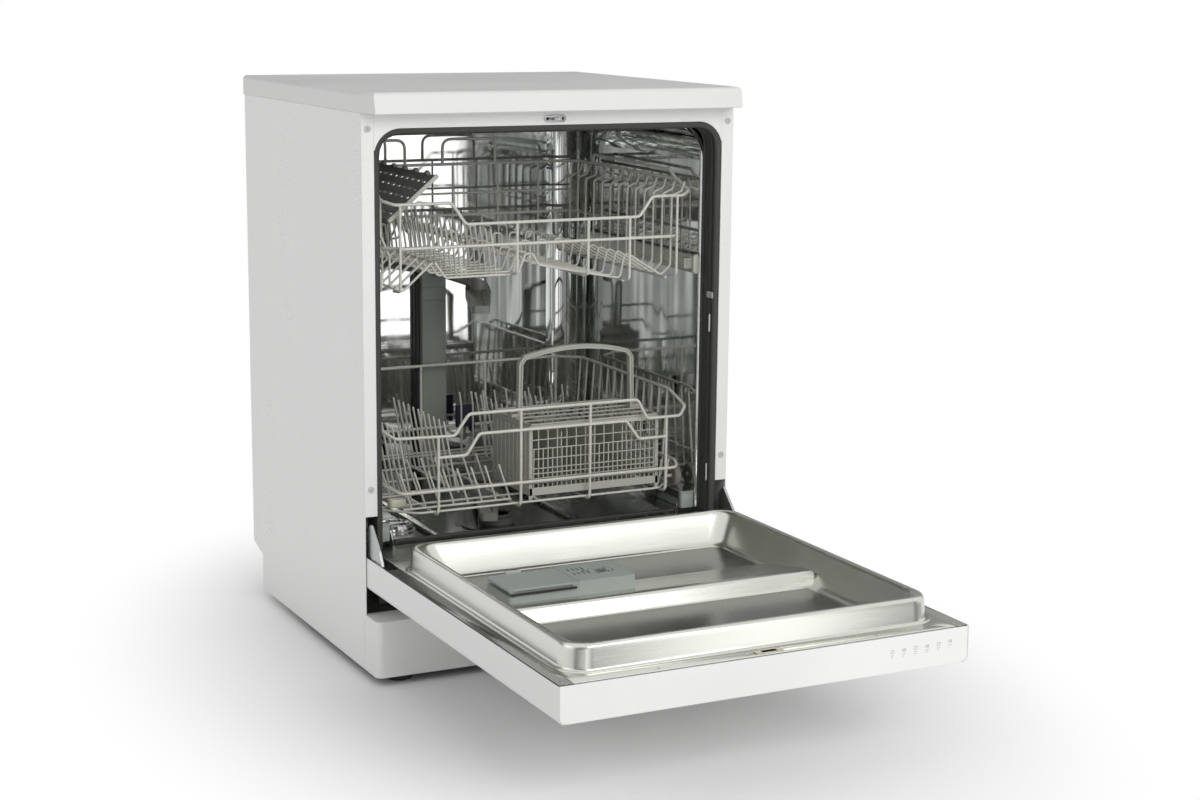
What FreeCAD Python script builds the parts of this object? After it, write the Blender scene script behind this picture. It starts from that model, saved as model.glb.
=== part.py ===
import FreeCAD, Part
import math
import os
import Sketcher
from collections import namedtuple
from types import SimpleNamespace

# Free-standing dishwasher with its door open, in millimetres.
# X runs to the right seen from the front, Y to the back and Z up.
# The origin is on the floor under the middle of the cabinet.

Vector = FreeCAD.Vector
Rotation = FreeCAD.Rotation
Ring = namedtuple("Ring", "x y radius")

SIZES = {
    # Outside of the cabinet
    "cabinet_width": 598,
    "cabinet_height": 850,
    "front_reach": 238,
    "rear_reach": 290,
    "panel_sheet": 1,
    "panel_gap": 12,
    "column_width": 19,
    "column_return": 14,
    "column_foot": 242,
    "rear_return": 15,
    "rear_notch_height": 72,
    "rear_notch_depth": 47,
    "rear_notch_slant": 14,
    "worktop_thick": 30,
    "worktop_overhang": 38,
    "worktop_taper": 7,
    "worktop_slope": 5,
    "worktop_rear_lip": 11,
    "worktop_round": 6,
    # Opening in the front and the rubber in it
    "header_face": 22,
    "opening_round": 40,
    "header_drop": 52,
    "header_return": 30,
    "seat_gap": 0.3,
    "gasket_width": 9.4,
    "gasket_depth": 40,
    "gasket_foot_rise": 12,
    "door_gap": 2,
    # Tub
    "tub_side": 29,
    "ceiling_step": 8,
    "tub_back_room": 45,
    "pan_height": 180,
    "tub_round": 55,
    "tub_sheet": 1,
    "floor_sheet": 1.5,
    "floor_inset": 35,
    "sill_setback": 48,
    "sill_height": 6,
    "sill_depth": 8,
    "seal_height": 4,
    "ledge_rise": 37,
    "ledge_width": 27,
    # Base
    "base_wall": 3,
    "base_height": 48,
    "plinth_height": 84,
    "plinth_reach": 44,
    "plinth_sheet": 2,
    "plinth_round": 10,
    "plinth_wrap": 8,
    "foot_radius": 20,
    "foot_pad": 8,
    "foot_stem": 5,
    "foot_stem_top": 46,
    "foot_boss": 9,
    "foot_inset": 45,
    "foot_front_reach": 12,
    "foot_rear_inset": 90,
    "run_gap": 0.06,
    # Water works
    "sump_width": 146,
    "sump_x": -22,
    "sump_setback": 18,
    "sump_rear": 48,
    "sump_depth": 70,
    "sump_wall": 3,
    "sump_round": 30,
    "filter_x": -40,
    "filter_setback": 70,
    "filter_plate": 58,
    "filter_plate_thick": 2,
    "filter_cup": 25.5,
    "filter_cup_depth": 55,
    "filter_cup_rise": 12,
    "arm_post": 12,
    "arm_pin": 8,
    "arm_cap": 13,
    "arm_thick": 12,
    "arm_width": 40,
    "arm_tip": 26,
    "arm_turn": 68,
    "arm_clear": 7,
    "arm_rise": 19,
    "jet_width": 2,
    "salt_inset": 41,
    "salt_setback": 101,
    "salt_neck": 30,
    "salt_cap": 27,
    "salt_cap_rise": 9,
    "salt_depth": 100,
    "salt_wide": 46,
    "pump_radius": 38,
    "pump_length": 130,
    "pump_y": -40,
    "pump_z": 110,
    "pump_stub": 14,
    "pump_stub_length": 10,
    "inlet_radius": 13.2,
    "inlet_length": 16,
    "drain_radius": 9.5,
    "drain_length": 30,
    "port_inset": 99,
    "port_z": 38,
    "duct_width": 62,
    "duct_depth": 22,
    "duct_shoulder": 19,
    "duct_round": 14,
    "socket_radius": 16,
    "socket_drop": 47,
    # Door, drawn open
    "hinge_proud": 4,
    "hinge_rise": 1,
    "hinge_pin": 4,
    "door_side_gap": 2,
    "door_thick": 50,
    "door_top_gap": 1,
    "door_tail": 50,
    "door_sheet": 1,
    "door_round": 8,
    "door_tail_inset": 21,
    "fascia_length": 120,
    "fascia_wall": 2.5,
    "grip_width": 150,
    "grip_length": 50,
    "grip_depth": 24,
    "grip_end": 30,
    "button_radius": 6,
    "button_x": 130,
    "button_pitch": 32,
    "button_end": 18,
    "button_proud": 1.5,
    "button_length": 11,
    "latch_width": 48,
    "latch_slot": 28,
    "latch_slot_length": 14,
    "latch_edge": 5,
    "latch_deep": 20,
    "striker_width": 20,
    "striker_reach": 12,
    "striker_thick": 3,
    "striker_rise": 9,
    "liner_sheet": 1.5,
    "rim_side": 29,
    "rim_end": 34,
    "rim_rear": 64,
    "rim_height": 33,
    "rim_round": 35,
    "rim_edge": 4,
    "rim_land": 10,
    "tray_side": 38,
    "tray_inset": 40,
    "tray_round": 25,
    "tray_depth": 13,
    "wedge_front": 354,
    "wedge_rear": 228,
    "wedge_lean": 7,
    "wedge_height": 22,
    "wedge_overlap": 5,
    "notch_width": 20,
    "notch_length": 28,
    "hinge_arm_gap": 2,
    "hinge_arm_thick": 4,
    "hinge_arm_rise": 52,
    "hinge_arm_reach": 48,
    "hinge_arm_drop": 38,
    "bracket_gap": 5,
    "bracket_thick": 4,
    # Detergent dispenser on the door
    "dispenser_inset": 15,
    "dispenser_width": 190,
    "dispenser_front": 315,
    "dispenser_length": 80,
    "dispenser_rise": 24,
    "dispenser_deep": 52,
    "dispenser_round": 5,
    "dispenser_lip": 5,
    "dispenser_lip_thick": 6,
    "lid_length": 102,
    "lid_thick": 7,
    "lid_lip": 2,
    "lid_axis": 4,
    "cup_margin": 9,
    "cup_depth": 26,
    "catch_inset": 39,
    "catch_width": 22,
    "catch_depth": 6,
    "catch_height": 10,
    "cap_radius": 18,
    "cap_inset": 35,
    "cap_height": 8,
    # Baskets
    "basket_wire": 3.5,
    "tine_wire": 3,
    "basket_proud": 2.3,
    "basket_room": 43.25,
    "weld_gap": 0.1,
    "upper_room": 22,
    "upper_rail": 110,
    "upper_dip": 79,
    "upper_band": 48,
    "upper_side": 125,
    "upper_floor_drop": 20,
    "upper_loop": 170,
    "upper_tine": 68,
    "upper_pitch": 30,
    "dip_left": 123,
    "dip_right": 162,
    "dip_ramp": 22,
    "wave_crest": 43,
    "wave_bed": 16,
    "wave_ridge": 46,
    "wave_middle": 28,
    "wave_tent": 42,
    "wave_foot": 3,
    "wire_margin": 20,
    "lower_room": 27,
    "lower_rail": 121,
    "lower_crest": 149,
    "lower_drop": 33,
    "lower_band": 39,
    "lower_floor_rise": 8,
    "lower_tine": 112,
    "lower_pitch": 22,
    "front_tine": 60,
    "row_front": 22,
    "row_back": 50,
    "fold_back": 60,
    "fold_pitch": 26,
    "side_margin": 90,
    "tine_lean": 18,
    "wheel_radius": 17,
    "wheel_width": 11,
    "wheel_room": 15,
    "wheel_front": 50,
    "wheel_rear": 51.75,
    "wheel_pin": 4,
    "rail_drop": 213,
    "rail_room": 15,
    "rail_depth": 11,
    "rail_sheet": 2,
    "rail_setback": 4,
    "rail_back_room": 45,
    "rail_cap": 6,
    "roller_radius": 11,
    "roller_width": 7,
    "roller_pin": 3,
    "roller_setback": 20,
    "roller_pitch": 80,
    "roller_plate": 1.5,
    "clip_length": 16,
    "feed_radius": 9,
    "feed_hub": 13,
    "upper_arm_reach": 172,
    "shelf_width": 103,
    "shelf_length": 330,
    "shelf_thick": 4,
    "shelf_slat": 8,
    "shelf_rise": 83,
    "shelf_rod": 2.4,
    "shelf_tilt": 40,
    "shelf_y": -30,
    "cutlery_inset": 36,
    "cutlery_width": 222,
    "cutlery_setback": 14,
    "cutlery_depth": 138,
    "cutlery_height": 118,
    "cutlery_wall": 2.5,
    "cutlery_handle": 219,
    "cutlery_handle_wide": 10,
    "cutlery_handle_thick": 6,
    "cutlery_handle_inset": 11,
}

doc = FreeCAD.newDocument("dishwasher")
sheet = doc.addObject("Spreadsheet::Sheet", "sizes")
for row, (alias, value) in enumerate(SIZES.items(), start=1):
    sheet.set(f"A{row}", alias)
    sheet.set(f"B{row}", str(value))
    sheet.setAlias(f"B{row}", alias)
doc.recompute()


class Size:
    """A length that carries its number and the sheet expression that gives it."""

    def __init__(self, value, text):
        self.value = float(value)
        self.text = text

    def __float__(self):
        return self.value

    def __add__(self, other):
        return Size(self.value + float(other), f"({self.text} + {words(other)})")

    def __radd__(self, other):
        return self + other

    def __sub__(self, other):
        return Size(self.value - float(other), f"({self.text} - {words(other)})")

    def __rsub__(self, other):
        return Size(float(other) - self.value, f"({words(other)} - {self.text})")

    def __mul__(self, other):
        return Size(self.value * float(other), f"({self.text} * {words(other)})")

    def __rmul__(self, other):
        return self * other

    def __truediv__(self, other):
        return Size(self.value / float(other), f"({self.text} / {words(other)})")

    def __neg__(self):
        return Size(-self.value, f"(0 - {self.text})")


def words(value):
    return value.text if isinstance(value, Size) else repr(float(value))


s = SimpleNamespace(**{alias: Size(sheet.get(alias), "sizes." + alias) for alias in SIZES})
ZERO = Size(0, "0")
parts = []


def bind(item, prop, value):
    """Ties a property to the sheet."""
    if isinstance(value, Size):
        item.setExpression(prop, value.text)


def place(item, at, turn=None):
    """Puts an item at a point whose coordinates follow the sheet."""
    item.Placement = FreeCAD.Placement(Vector(*(float(c) for c in at)), turn or Rotation())
    for axis, value in zip("xyz", at):
        bind(item, f"Placement.Base.{axis}", value)
    return item


def block(low, high):
    """A box between two corners."""
    item = doc.addObject("Part::Box", "block")
    for prop, start, end in zip(("Length", "Width", "Height"), low, high):
        setattr(item, prop, float(end) - float(start))
        bind(item, prop, end - start)
    return place(item, low)


TURNS = {
    "x": Rotation(Vector(0, 1, 0), 90),
    "y": Rotation(Vector(1, 0, 0), -90),
    "z": Rotation(),
}


def rod(radius, start, length, axis="z"):
    """A cylinder from a start point along an axis."""
    item = doc.addObject("Part::Cylinder", "rod")
    item.Radius = float(radius)
    item.Height = float(length)
    bind(item, "Radius", radius)
    bind(item, "Height", length)
    return place(item, start, TURNS[axis])


def rule(sketch, constraint, value=None):
    """Adds one constraint to a sketch, tied to the sheet where it has a value."""
    index = sketch.addConstraint(constraint)
    if isinstance(value, Size):
        sketch.setExpression(f"Constraints[{index}]", value.text)


def pin_point(sketch, geometry, end, x, y):
    rule(sketch, Sketcher.Constraint("DistanceX", geometry, end, float(x)), x)
    rule(sketch, Sketcher.Constraint("DistanceY", geometry, end, float(y)), y)


def corner_arc(before, corner, after, radius):
    """Tangent points, centre and side of a rounded corner."""
    back = (before - corner).normalize()
    onward = (after - corner).normalize()
    half_angle = back.getAngle(onward) / 2
    reach = radius / math.tan(half_angle)
    middle = (back + onward).normalize() * (radius / math.sin(half_angle))
    turns_left = back.cross(onward).z < 0
    return corner + back * reach, corner + onward * reach, corner + middle, turns_left


def draw_loop(sketch, corners):
    """Draws a closed outline. A corner is (x, y) or (x, y, radius)."""
    points = [Vector(float(c[0]), float(c[1]), 0) for c in corners]
    count = len(corners)
    arcs = {}
    for i, corner in enumerate(corners):
        if len(corner) == 3:
            arcs[i] = corner_arc(points[i - 1], points[i], points[(i + 1) % count], float(corner[2]))
    lines = []
    for i in range(count):
        j = (i + 1) % count
        start = arcs[i][1] if i in arcs else points[i]
        end = arcs[j][0] if j in arcs else points[j]
        lines.append(sketch.addGeometry(Part.LineSegment(start, end)))
    for i, corner in enumerate(corners):
        before = lines[i - 1]
        if i not in arcs:
            rule(sketch, Sketcher.Constraint("Coincident", before, 2, lines[i], 1))
            pin_point(sketch, lines[i], 1, corner[0], corner[1])
            continue
        first, last, centre, turns_left = arcs[i]
        ends = (first, last) if turns_left else (last, first)
        angles = [math.atan2(p.y - centre.y, p.x - centre.x) for p in ends]
        circle = Part.Circle(centre, Vector(0, 0, 1), float(corner[2]))
        arc = sketch.addGeometry(Part.ArcOfCircle(circle, angles[0], angles[1]))
        mark = sketch.addGeometry(Part.Point(points[i]), True)
        pin_point(sketch, mark, 1, corner[0], corner[1])
        rule(sketch, Sketcher.Constraint("PointOnObject", mark, 1, before))
        rule(sketch, Sketcher.Constraint("PointOnObject", mark, 1, lines[i]))
        near, far = (1, 2) if turns_left else (2, 1)
        rule(sketch, Sketcher.Constraint("Tangent", before, 2, arc, near))
        rule(sketch, Sketcher.Constraint("Tangent", arc, far, lines[i], 1))
        rule(sketch, Sketcher.Constraint("Radius", arc, float(corner[2])), corner[2])


def draw(sketch, loops):
    for loop in loops:
        if isinstance(loop, Ring):
            centre = Vector(float(loop.x), float(loop.y), 0)
            circle = sketch.addGeometry(Part.Circle(centre, Vector(0, 0, 1), float(loop.radius)))
            pin_point(sketch, circle, 3, loop.x, loop.y)
            rule(sketch, Sketcher.Constraint("Radius", circle, float(loop.radius)), loop.radius)
        else:
            draw_loop(sketch, loop)


def body_sketch(plane, loops, offset=0.0):
    """A body with one sketch on an origin plane, set off along the plane's normal."""
    body = doc.addObject("PartDesign::Body", "body")
    sketch = body.newObject("Sketcher::SketchObject", "outline")
    origin = [p for p in body.Origin.OriginFeatures if p.Role == plane + "_Plane"][0]
    sketch.AttachmentSupport = [(origin, "")]
    sketch.MapMode = "FlatFace"
    sketch.AttachmentOffset = FreeCAD.Placement(Vector(0, 0, float(offset)), Rotation())
    bind(sketch, "AttachmentOffset.Base.z", offset)
    draw(sketch, loops)
    return body, sketch


def slab(plane, loops, low, high):
    """Outlines on a plane, padded between two places on its normal."""
    offset = -high if plane == "XZ" else low
    body, sketch = body_sketch(plane, loops, offset)
    pad = body.newObject("PartDesign::Pad", "pad")
    pad.Profile = sketch
    pad.Length = float(high) - float(low)
    bind(pad, "Length", high - low)
    return body


def turned(profile, at, axis="z"):
    """A profile of (radius, height) corners turned about its own axis."""
    body, sketch = body_sketch("XZ", [profile])
    spin = body.newObject("PartDesign::Revolution", "spin")
    spin.Profile = sketch
    spin.ReferenceAxis = (sketch, ["V_Axis"])
    spin.Angle = 360
    return place(body, at, TURNS[axis])


def funnel(low_loop, low_z, high_loop, high_z):
    """A loft between two level outlines."""
    sections = []
    for loop, level in ((low_loop, low_z), (high_loop, high_z)):
        sketch = doc.addObject("Sketcher::SketchObject", "section")
        draw(sketch, [loop])
        sections.append(place(sketch, (0, 0, level)))
    loft = doc.addObject("Part::Loft", "funnel")
    loft.Sections = sections
    loft.Solid = True
    loft.Ruled = True
    return loft


def joined(*items):
    fuse = doc.addObject("Part::MultiFuse", "joined")
    fuse.Shapes = list(items)
    fuse.Refine = True
    return fuse


def grouped(*items):
    """Separate solids that make one sub-part."""
    group = doc.addObject("Part::Compound", "grouped")
    group.Links = list(items)
    return group


def carved(base, *tools):
    for tool in tools:
        cut = doc.addObject("Part::Cut", "carved")
        cut.Base = base
        cut.Tool = tool
        base = cut
    return base


def mirrored(item):
    """The same piece on the other side of the middle plane."""
    twin = doc.addObject("Part::Mirroring", "mirrored")
    twin.Source = item
    twin.Normal = Vector(1, 0, 0)
    return twin


def rounded(item, radius, wanted):
    """Rounds the edges that a test picks out."""
    doc.recompute()
    picked = [i for i, edge in enumerate(item.Shape.Edges, start=1) if wanted(edge)]
    fillet = doc.addObject("Part::Fillet", "rounded")
    fillet.Base = item
    fillet.Edges = [(i, float(radius), float(radius)) for i in picked]
    return fillet


def level_edge(z):
    """Picks edges that lie at one height."""
    return lambda edge: all(abs(v.Z - float(z)) < 1e-4 for v in edge.Vertexes)


def shaped(shape):
    """A piece whose shape is worked out from the sheet's numbers."""
    item = doc.addObject("Part::Feature", "shaped")
    item.Shape = shape
    return item


AXES = {
    "XY": lambda u, v, w: Vector(u, v, w),
    "XZ": lambda u, v, w: Vector(u, w, v),
    "YZ": lambda u, v, w: Vector(w, u, v),
}


def windows(plane, left, right, low, high, grid, bar, depth):
    """A tool for a grid of windows with bars between them, through a depth."""
    columns, rows = grid
    to_space = AXES[plane]
    left, right, low, high, bar = (float(v) for v in (left, right, low, high, bar))
    near, far = (float(v) for v in depth)
    wide = (right - left - bar * (columns - 1)) / columns
    tall = (high - low - bar * (rows - 1)) / rows
    size = to_space(wide, tall, far - near)
    boxes = []
    for column in range(columns):
        for row in range(rows):
            corner = to_space(left + (wide + bar) * column, low + (tall + bar) * row, near)
            boxes.append(Part.makeBox(size.x, size.y, size.z, corner))
    return shaped(Part.makeCompound(boxes))


def part(label, item):
    """Names a finished sub-part."""
    item.Label = label
    parts.append(item)
    return item


def box_loop(left, right, low, high, radius=None):
    """A rectangle, with rounded corners where a radius is given."""
    corners = [(left, low), (right, low), (right, high), (left, high)]
    return corners if radius is None else [(*c, radius) for c in corners]


HALF = s.cabinet_width / 2
FRONT = -s.front_reach
REAR = s.rear_reach
UNDER = s.cabinet_height - s.worktop_thick
INNER = HALF - s.panel_sheet
COLUMN_X = HALF - s.column_width
PLINTH_TOP = s.panel_gap + s.plinth_height
PLINTH_BACK = FRONT + s.plinth_wrap
OPENING_TOP = UNDER - s.header_face
TUB_HALF = HALF - s.tub_side
TUB_OUT = TUB_HALF + s.tub_sheet
TUB_FRONT = FRONT + s.gasket_depth + s.seat_gap
TUB_BACK = REAR - s.tub_back_room
TUB_CEILING = OPENING_TOP - s.ceiling_step
FLOOR_LOW = s.pan_height - s.floor_sheet
FLOOR_HALF = TUB_HALF - s.floor_inset
SILL_Y = FRONT + s.sill_setback
LEDGE_TOP = s.pan_height + s.ledge_rise
LOWER_FLOOR = LEDGE_TOP + s.lower_floor_rise
ARM_BASE = s.pan_height + s.arm_rise
BASE_TOP = s.panel_gap + s.base_height
DUCT_FRONT = TUB_BACK - s.duct_depth
ARM_Y = (TUB_FRONT + DUCT_FRONT) / 2
ARM_REACH = (DUCT_FRONT - TUB_FRONT) / 2 - s.arm_clear
FILTER_Y = SILL_Y + s.filter_setback
SALT_X = s.salt_inset - FLOOR_HALF
SALT_Y = SILL_Y + s.salt_setback
RAIL_Z = TUB_CEILING - s.rail_drop
SOCKET_Z = RAIL_Z - s.socket_drop


def make_worktop():
    top = s.cabinet_height
    front = FRONT - s.worktop_overhang
    rear = REAR + s.worktop_rear_lip
    profile = [(front, UNDER), (front + s.worktop_slope, top), (rear, top), (rear, UNDER)]
    plank = slab("YZ", [profile], -HALF, HALF)
    corner = [(-HALF, FRONT), (-HALF, front), (s.worktop_taper - HALF, front)]
    wedge = slab("XY", [corner], UNDER, top)
    shaped_plank = carved(plank, wedge, mirrored(wedge))

    def rear_corner(edge):
        return all(abs(v.Y - float(rear)) < 1e-4 for v in edge.Vertexes) and edge.BoundBox.XLength < 1e-4

    eased = rounded(shaped_plank, s.worktop_round, lambda e: level_edge(top)(e) or rear_corner(e))
    part("worktop", eased)


def make_side_panels():
    notch_top = s.panel_gap + s.rear_notch_height
    notch_y = REAR - s.rear_notch_depth
    outline = [
        (FRONT, UNDER),
        (REAR, UNDER),
        (REAR, notch_top),
        (notch_y, notch_top - s.rear_notch_slant),
        (notch_y, s.panel_gap),
        (PLINTH_BACK, s.panel_gap),
        (PLINTH_BACK, PLINTH_TOP),
        (FRONT, PLINTH_TOP),
    ]
    skin = slab("YZ", [outline], -HALF, -INNER)
    column = block((-HALF, FRONT, s.column_foot), (-COLUMN_X, FRONT + s.panel_sheet, UNDER))
    lip_low = (-COLUMN_X - s.panel_sheet, FRONT, s.column_foot)
    lip = block(lip_low, (-COLUMN_X, FRONT + s.column_return, UNDER))
    back = block((-HALF, REAR - s.panel_sheet, notch_top), (s.rear_return - HALF, REAR, UNDER))
    left = part("side_panel_left", joined(skin, column, lip, back))
    part("side_panel_right", mirrored(left))


def make_back_panel():
    half = INNER - s.seat_gap
    foot = s.panel_gap + s.rear_notch_height
    outer = box_loop(-half, half, foot, UNDER)
    face = REAR - s.panel_sheet
    panel = slab("XZ", [outer], face - s.panel_sheet, face)
    margin = s.rear_return * 4
    dent = box_loop(margin - half, half - margin, foot + margin, UNDER - margin, s.rear_return)
    pressed = slab("XZ", [dent], face - s.panel_sheet * 4, face - s.panel_sheet)
    hollow_dent = box_loop(
        margin - half + s.panel_sheet,
        half - margin - s.panel_sheet,
        foot + margin + s.panel_sheet,
        UNDER - margin - s.panel_sheet,
        s.rear_return - s.panel_sheet,
    )
    hollow = slab("XZ", [hollow_dent], face - s.panel_sheet * 3, face)
    part("back_panel", carved(joined(panel, pressed), hollow))


def make_front_header():
    plate_low = (-COLUMN_X, FRONT, UNDER - s.header_drop)
    plate = block(plate_low, (COLUMN_X, FRONT + s.panel_sheet, UNDER))
    fold_low = (-COLUMN_X, FRONT, UNDER - s.panel_sheet)
    fold = block(fold_low, (COLUMN_X, FRONT + s.header_return, UNDER))
    opening = box_loop(-COLUMN_X, COLUMN_X, s.column_foot, OPENING_TOP, s.opening_round)
    window = slab("XZ", [opening], FRONT - s.panel_sheet, FRONT + s.panel_sheet * 2)
    part("front_header", carved(joined(plate, fold), window))


def arch_loop(outer_half, outer_top, outer_round, inner_half, inner_top, inner_round, foot):
    """An upside-down U with rounded shoulders."""
    return [
        (-outer_half, foot),
        (-outer_half, outer_top, outer_round),
        (outer_half, outer_top, outer_round),
        (outer_half, foot),
        (inner_half, foot),
        (inner_half, inner_top, inner_round),
        (-inner_half, inner_top, inner_round),
        (-inner_half, foot),
    ]


def make_tub():
    sheet_top = TUB_CEILING + s.tub_sheet
    outer_round = s.tub_round + s.tub_sheet
    walls_loop = arch_loop(
        TUB_OUT, sheet_top, outer_round, TUB_HALF, TUB_CEILING, s.tub_round, LEDGE_TOP
    )
    walls = slab("XZ", [walls_loop], TUB_FRONT, TUB_BACK)
    flange_half = COLUMN_X - s.seat_gap
    flange_top = OPENING_TOP - s.seat_gap
    flange_loop = arch_loop(
        flange_half, flange_top, s.opening_round, TUB_HALF, TUB_CEILING, s.tub_round, LEDGE_TOP
    )
    flange = slab("XZ", [flange_loop], TUB_FRONT, TUB_FRONT + s.tub_sheet)
    part("tub_wrapper", joined(walls, flange))

    back_loop = [
        (-TUB_OUT, FLOOR_LOW),
        (TUB_OUT, FLOOR_LOW),
        (TUB_OUT, sheet_top, outer_round),
        (-TUB_OUT, sheet_top, outer_round),
    ]
    part("tub_back_wall", slab("XZ", [back_loop], TUB_BACK, TUB_BACK + s.tub_sheet))

    floor_loops = [
        box_loop(-FLOOR_HALF, FLOOR_HALF, SILL_Y, TUB_BACK),
        Ring(s.filter_x, FILTER_Y, s.filter_plate - s.sump_wall * 3),
        Ring(ZERO, ARM_Y, s.arm_post + s.seat_gap),
        Ring(SALT_X, SALT_Y, s.salt_neck + s.seat_gap),
    ]
    pan = slab("XY", floor_loops, FLOOR_LOW, s.pan_height)
    lip_top = s.pan_height + s.sill_height
    lip = block((-FLOOR_HALF, SILL_Y, FLOOR_LOW), (FLOOR_HALF, SILL_Y + s.sill_depth, lip_top))
    part("tub_floor", joined(pan, lip))

    seal_low = (-FLOOR_HALF, SILL_Y, lip_top)
    seal = block(seal_low, (FLOOR_HALF, SILL_Y + s.sill_depth, lip_top + s.seal_height))
    seal_top = level_edge(lip_top + s.seal_height)
    part("sill_seal", rounded(seal, s.seal_height / 3, seal_top))

    ledge_x = TUB_OUT - s.ledge_width - s.tub_sheet
    skin = s.floor_sheet
    ledge_loop = [
        (-TUB_OUT, LEDGE_TOP),
        (-ledge_x, LEDGE_TOP),
        (-FLOOR_HALF, s.pan_height),
        (-FLOOR_HALF, FLOOR_LOW),
        (-FLOOR_HALF - skin, FLOOR_LOW),
        (-ledge_x - skin, LEDGE_TOP - skin),
        (-TUB_OUT, LEDGE_TOP - skin),
    ]
    left = slab("XZ", [ledge_loop], SILL_Y, TUB_BACK)
    part("runner_ledges", joined(left, mirrored(left)))


def make_gasket():
    half = COLUMN_X - s.seat_gap
    top = OPENING_TOP - s.seat_gap
    loop = arch_loop(
        half,
        top,
        s.opening_round,
        half - s.gasket_width,
        top - s.gasket_width,
        s.opening_round - s.gasket_width,
        s.pan_height + s.gasket_foot_rise,
    )
    part("door_gasket", slab("XZ", [loop], TUB_FRONT - s.gasket_depth + s.panel_sheet, TUB_FRONT))


def make_plinth():
    front = FRONT - s.plinth_reach
    inset = s.plinth_sheet
    back = PLINTH_BACK - s.seat_gap
    inner_round = s.plinth_round - inset
    skirt_loop = [
        (-HALF, back),
        (-HALF, front, s.plinth_round),
        (HALF, front, s.plinth_round),
        (HALF, back),
        (HALF - inset, back),
        (HALF - inset, front + inset, inner_round),
        (inset - HALF, front + inset, inner_round),
        (inset - HALF, back),
    ]
    skirt = slab("XY", [skirt_loop], s.panel_gap, PLINTH_TOP)
    shelf_loop = [
        (-HALF, back),
        (-HALF, front, s.plinth_round),
        (HALF, front, s.plinth_round),
        (HALF, back),
    ]
    shelf = slab("XY", [shelf_loop], PLINTH_TOP - inset, PLINTH_TOP)
    part("plinth", joined(skirt, shelf))


BASE_HALF = HALF - s.plinth_sheet - s.seat_gap
BASE_FRONT = FRONT - s.plinth_reach + s.plinth_sheet + s.seat_gap
BASE_BACK = REAR - s.rear_notch_depth - s.panel_sheet
PORT_X = HALF - s.port_inset
FOOT_X = HALF - s.foot_inset
FOOT_FRONT = FRONT - s.foot_front_reach
FOOT_REAR = REAR - s.foot_rear_inset
FOOT_PLACES = {
    "foot_front_left": (-FOOT_X, FOOT_FRONT),
    "foot_front_right": (FOOT_X, FOOT_FRONT),
    "foot_rear_left": (-FOOT_X, FOOT_REAR),
    "foot_rear_right": (FOOT_X, FOOT_REAR),
}


def make_base():
    corner = s.plinth_round - s.plinth_sheet
    outer = box_loop(-BASE_HALF, BASE_HALF, BASE_FRONT, BASE_BACK, corner)
    tray = slab("XY", [outer], s.panel_gap, BASE_TOP)
    wall = s.base_wall
    inner = box_loop(wall - BASE_HALF, BASE_HALF - wall, BASE_FRONT + wall, BASE_BACK - wall, corner - wall)
    room = slab("XY", [inner], s.panel_gap + wall, BASE_TOP + wall)
    pads = []
    bores = []
    for x, y in FOOT_PLACES.values():
        pads.append(rod(s.foot_boss, (x, y, s.panel_gap), s.foot_stem_top - s.panel_gap))
        bores.append(rod(s.foot_stem + s.run_gap, (x, y, s.panel_gap - wall), BASE_TOP))
    ports = [
        rod(s.inlet_radius + wall + s.seat_gap, (PORT_X, BASE_BACK - wall * 2, s.port_z), wall * 3, "y"),
        rod(s.drain_radius + wall + s.seat_gap, (-PORT_X, BASE_BACK - wall * 2, s.port_z), wall * 3, "y"),
    ]
    part("base_tray", carved(joined(carved(tray, room), *pads), *bores, *ports))
    for label, (x, y) in FOOT_PLACES.items():
        pad_edge = s.foot_radius - s.foot_pad / 4
        profile = [
            (0, 0),
            (pad_edge, 0),
            (s.foot_radius, s.foot_pad / 4),
            (s.foot_radius, s.foot_pad),
            (s.foot_stem, s.panel_gap - s.seat_gap),
            (s.foot_stem, s.foot_stem_top),
            (0, s.foot_stem_top),
        ]
        part(label, turned(profile, (x, y, ZERO)))


def make_ports():
    flange = s.base_wall
    inside = BASE_BACK - s.base_wall
    body_half = s.inlet_radius + s.base_wall * 3
    valve_low = (PORT_X - body_half, inside - body_half * 2, s.panel_gap + s.base_wall)
    valve = block(valve_low, (PORT_X + body_half, inside, s.port_z + s.inlet_radius + flange))
    outside = BASE_BACK + s.panel_sheet
    collar_length = outside - inside + flange
    collar = rod(s.inlet_radius + flange, (PORT_X, inside - flange, s.port_z), collar_length, "y")
    spout = rod(s.inlet_radius, (PORT_X, inside, s.port_z), outside - inside + s.inlet_length, "y")
    part("inlet_valve", joined(valve, collar, spout))
    collar = rod(s.drain_radius + flange, (-PORT_X, inside - flange, s.port_z), collar_length, "y")
    pipe = rod(s.drain_radius, (-PORT_X, inside, s.port_z), outside - inside + s.drain_length, "y")
    bore = rod(s.drain_radius - flange, (-PORT_X, inside, s.port_z), collar_length + s.drain_length, "y")
    part("drain_spigot", carved(joined(collar, pipe), bore))


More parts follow.
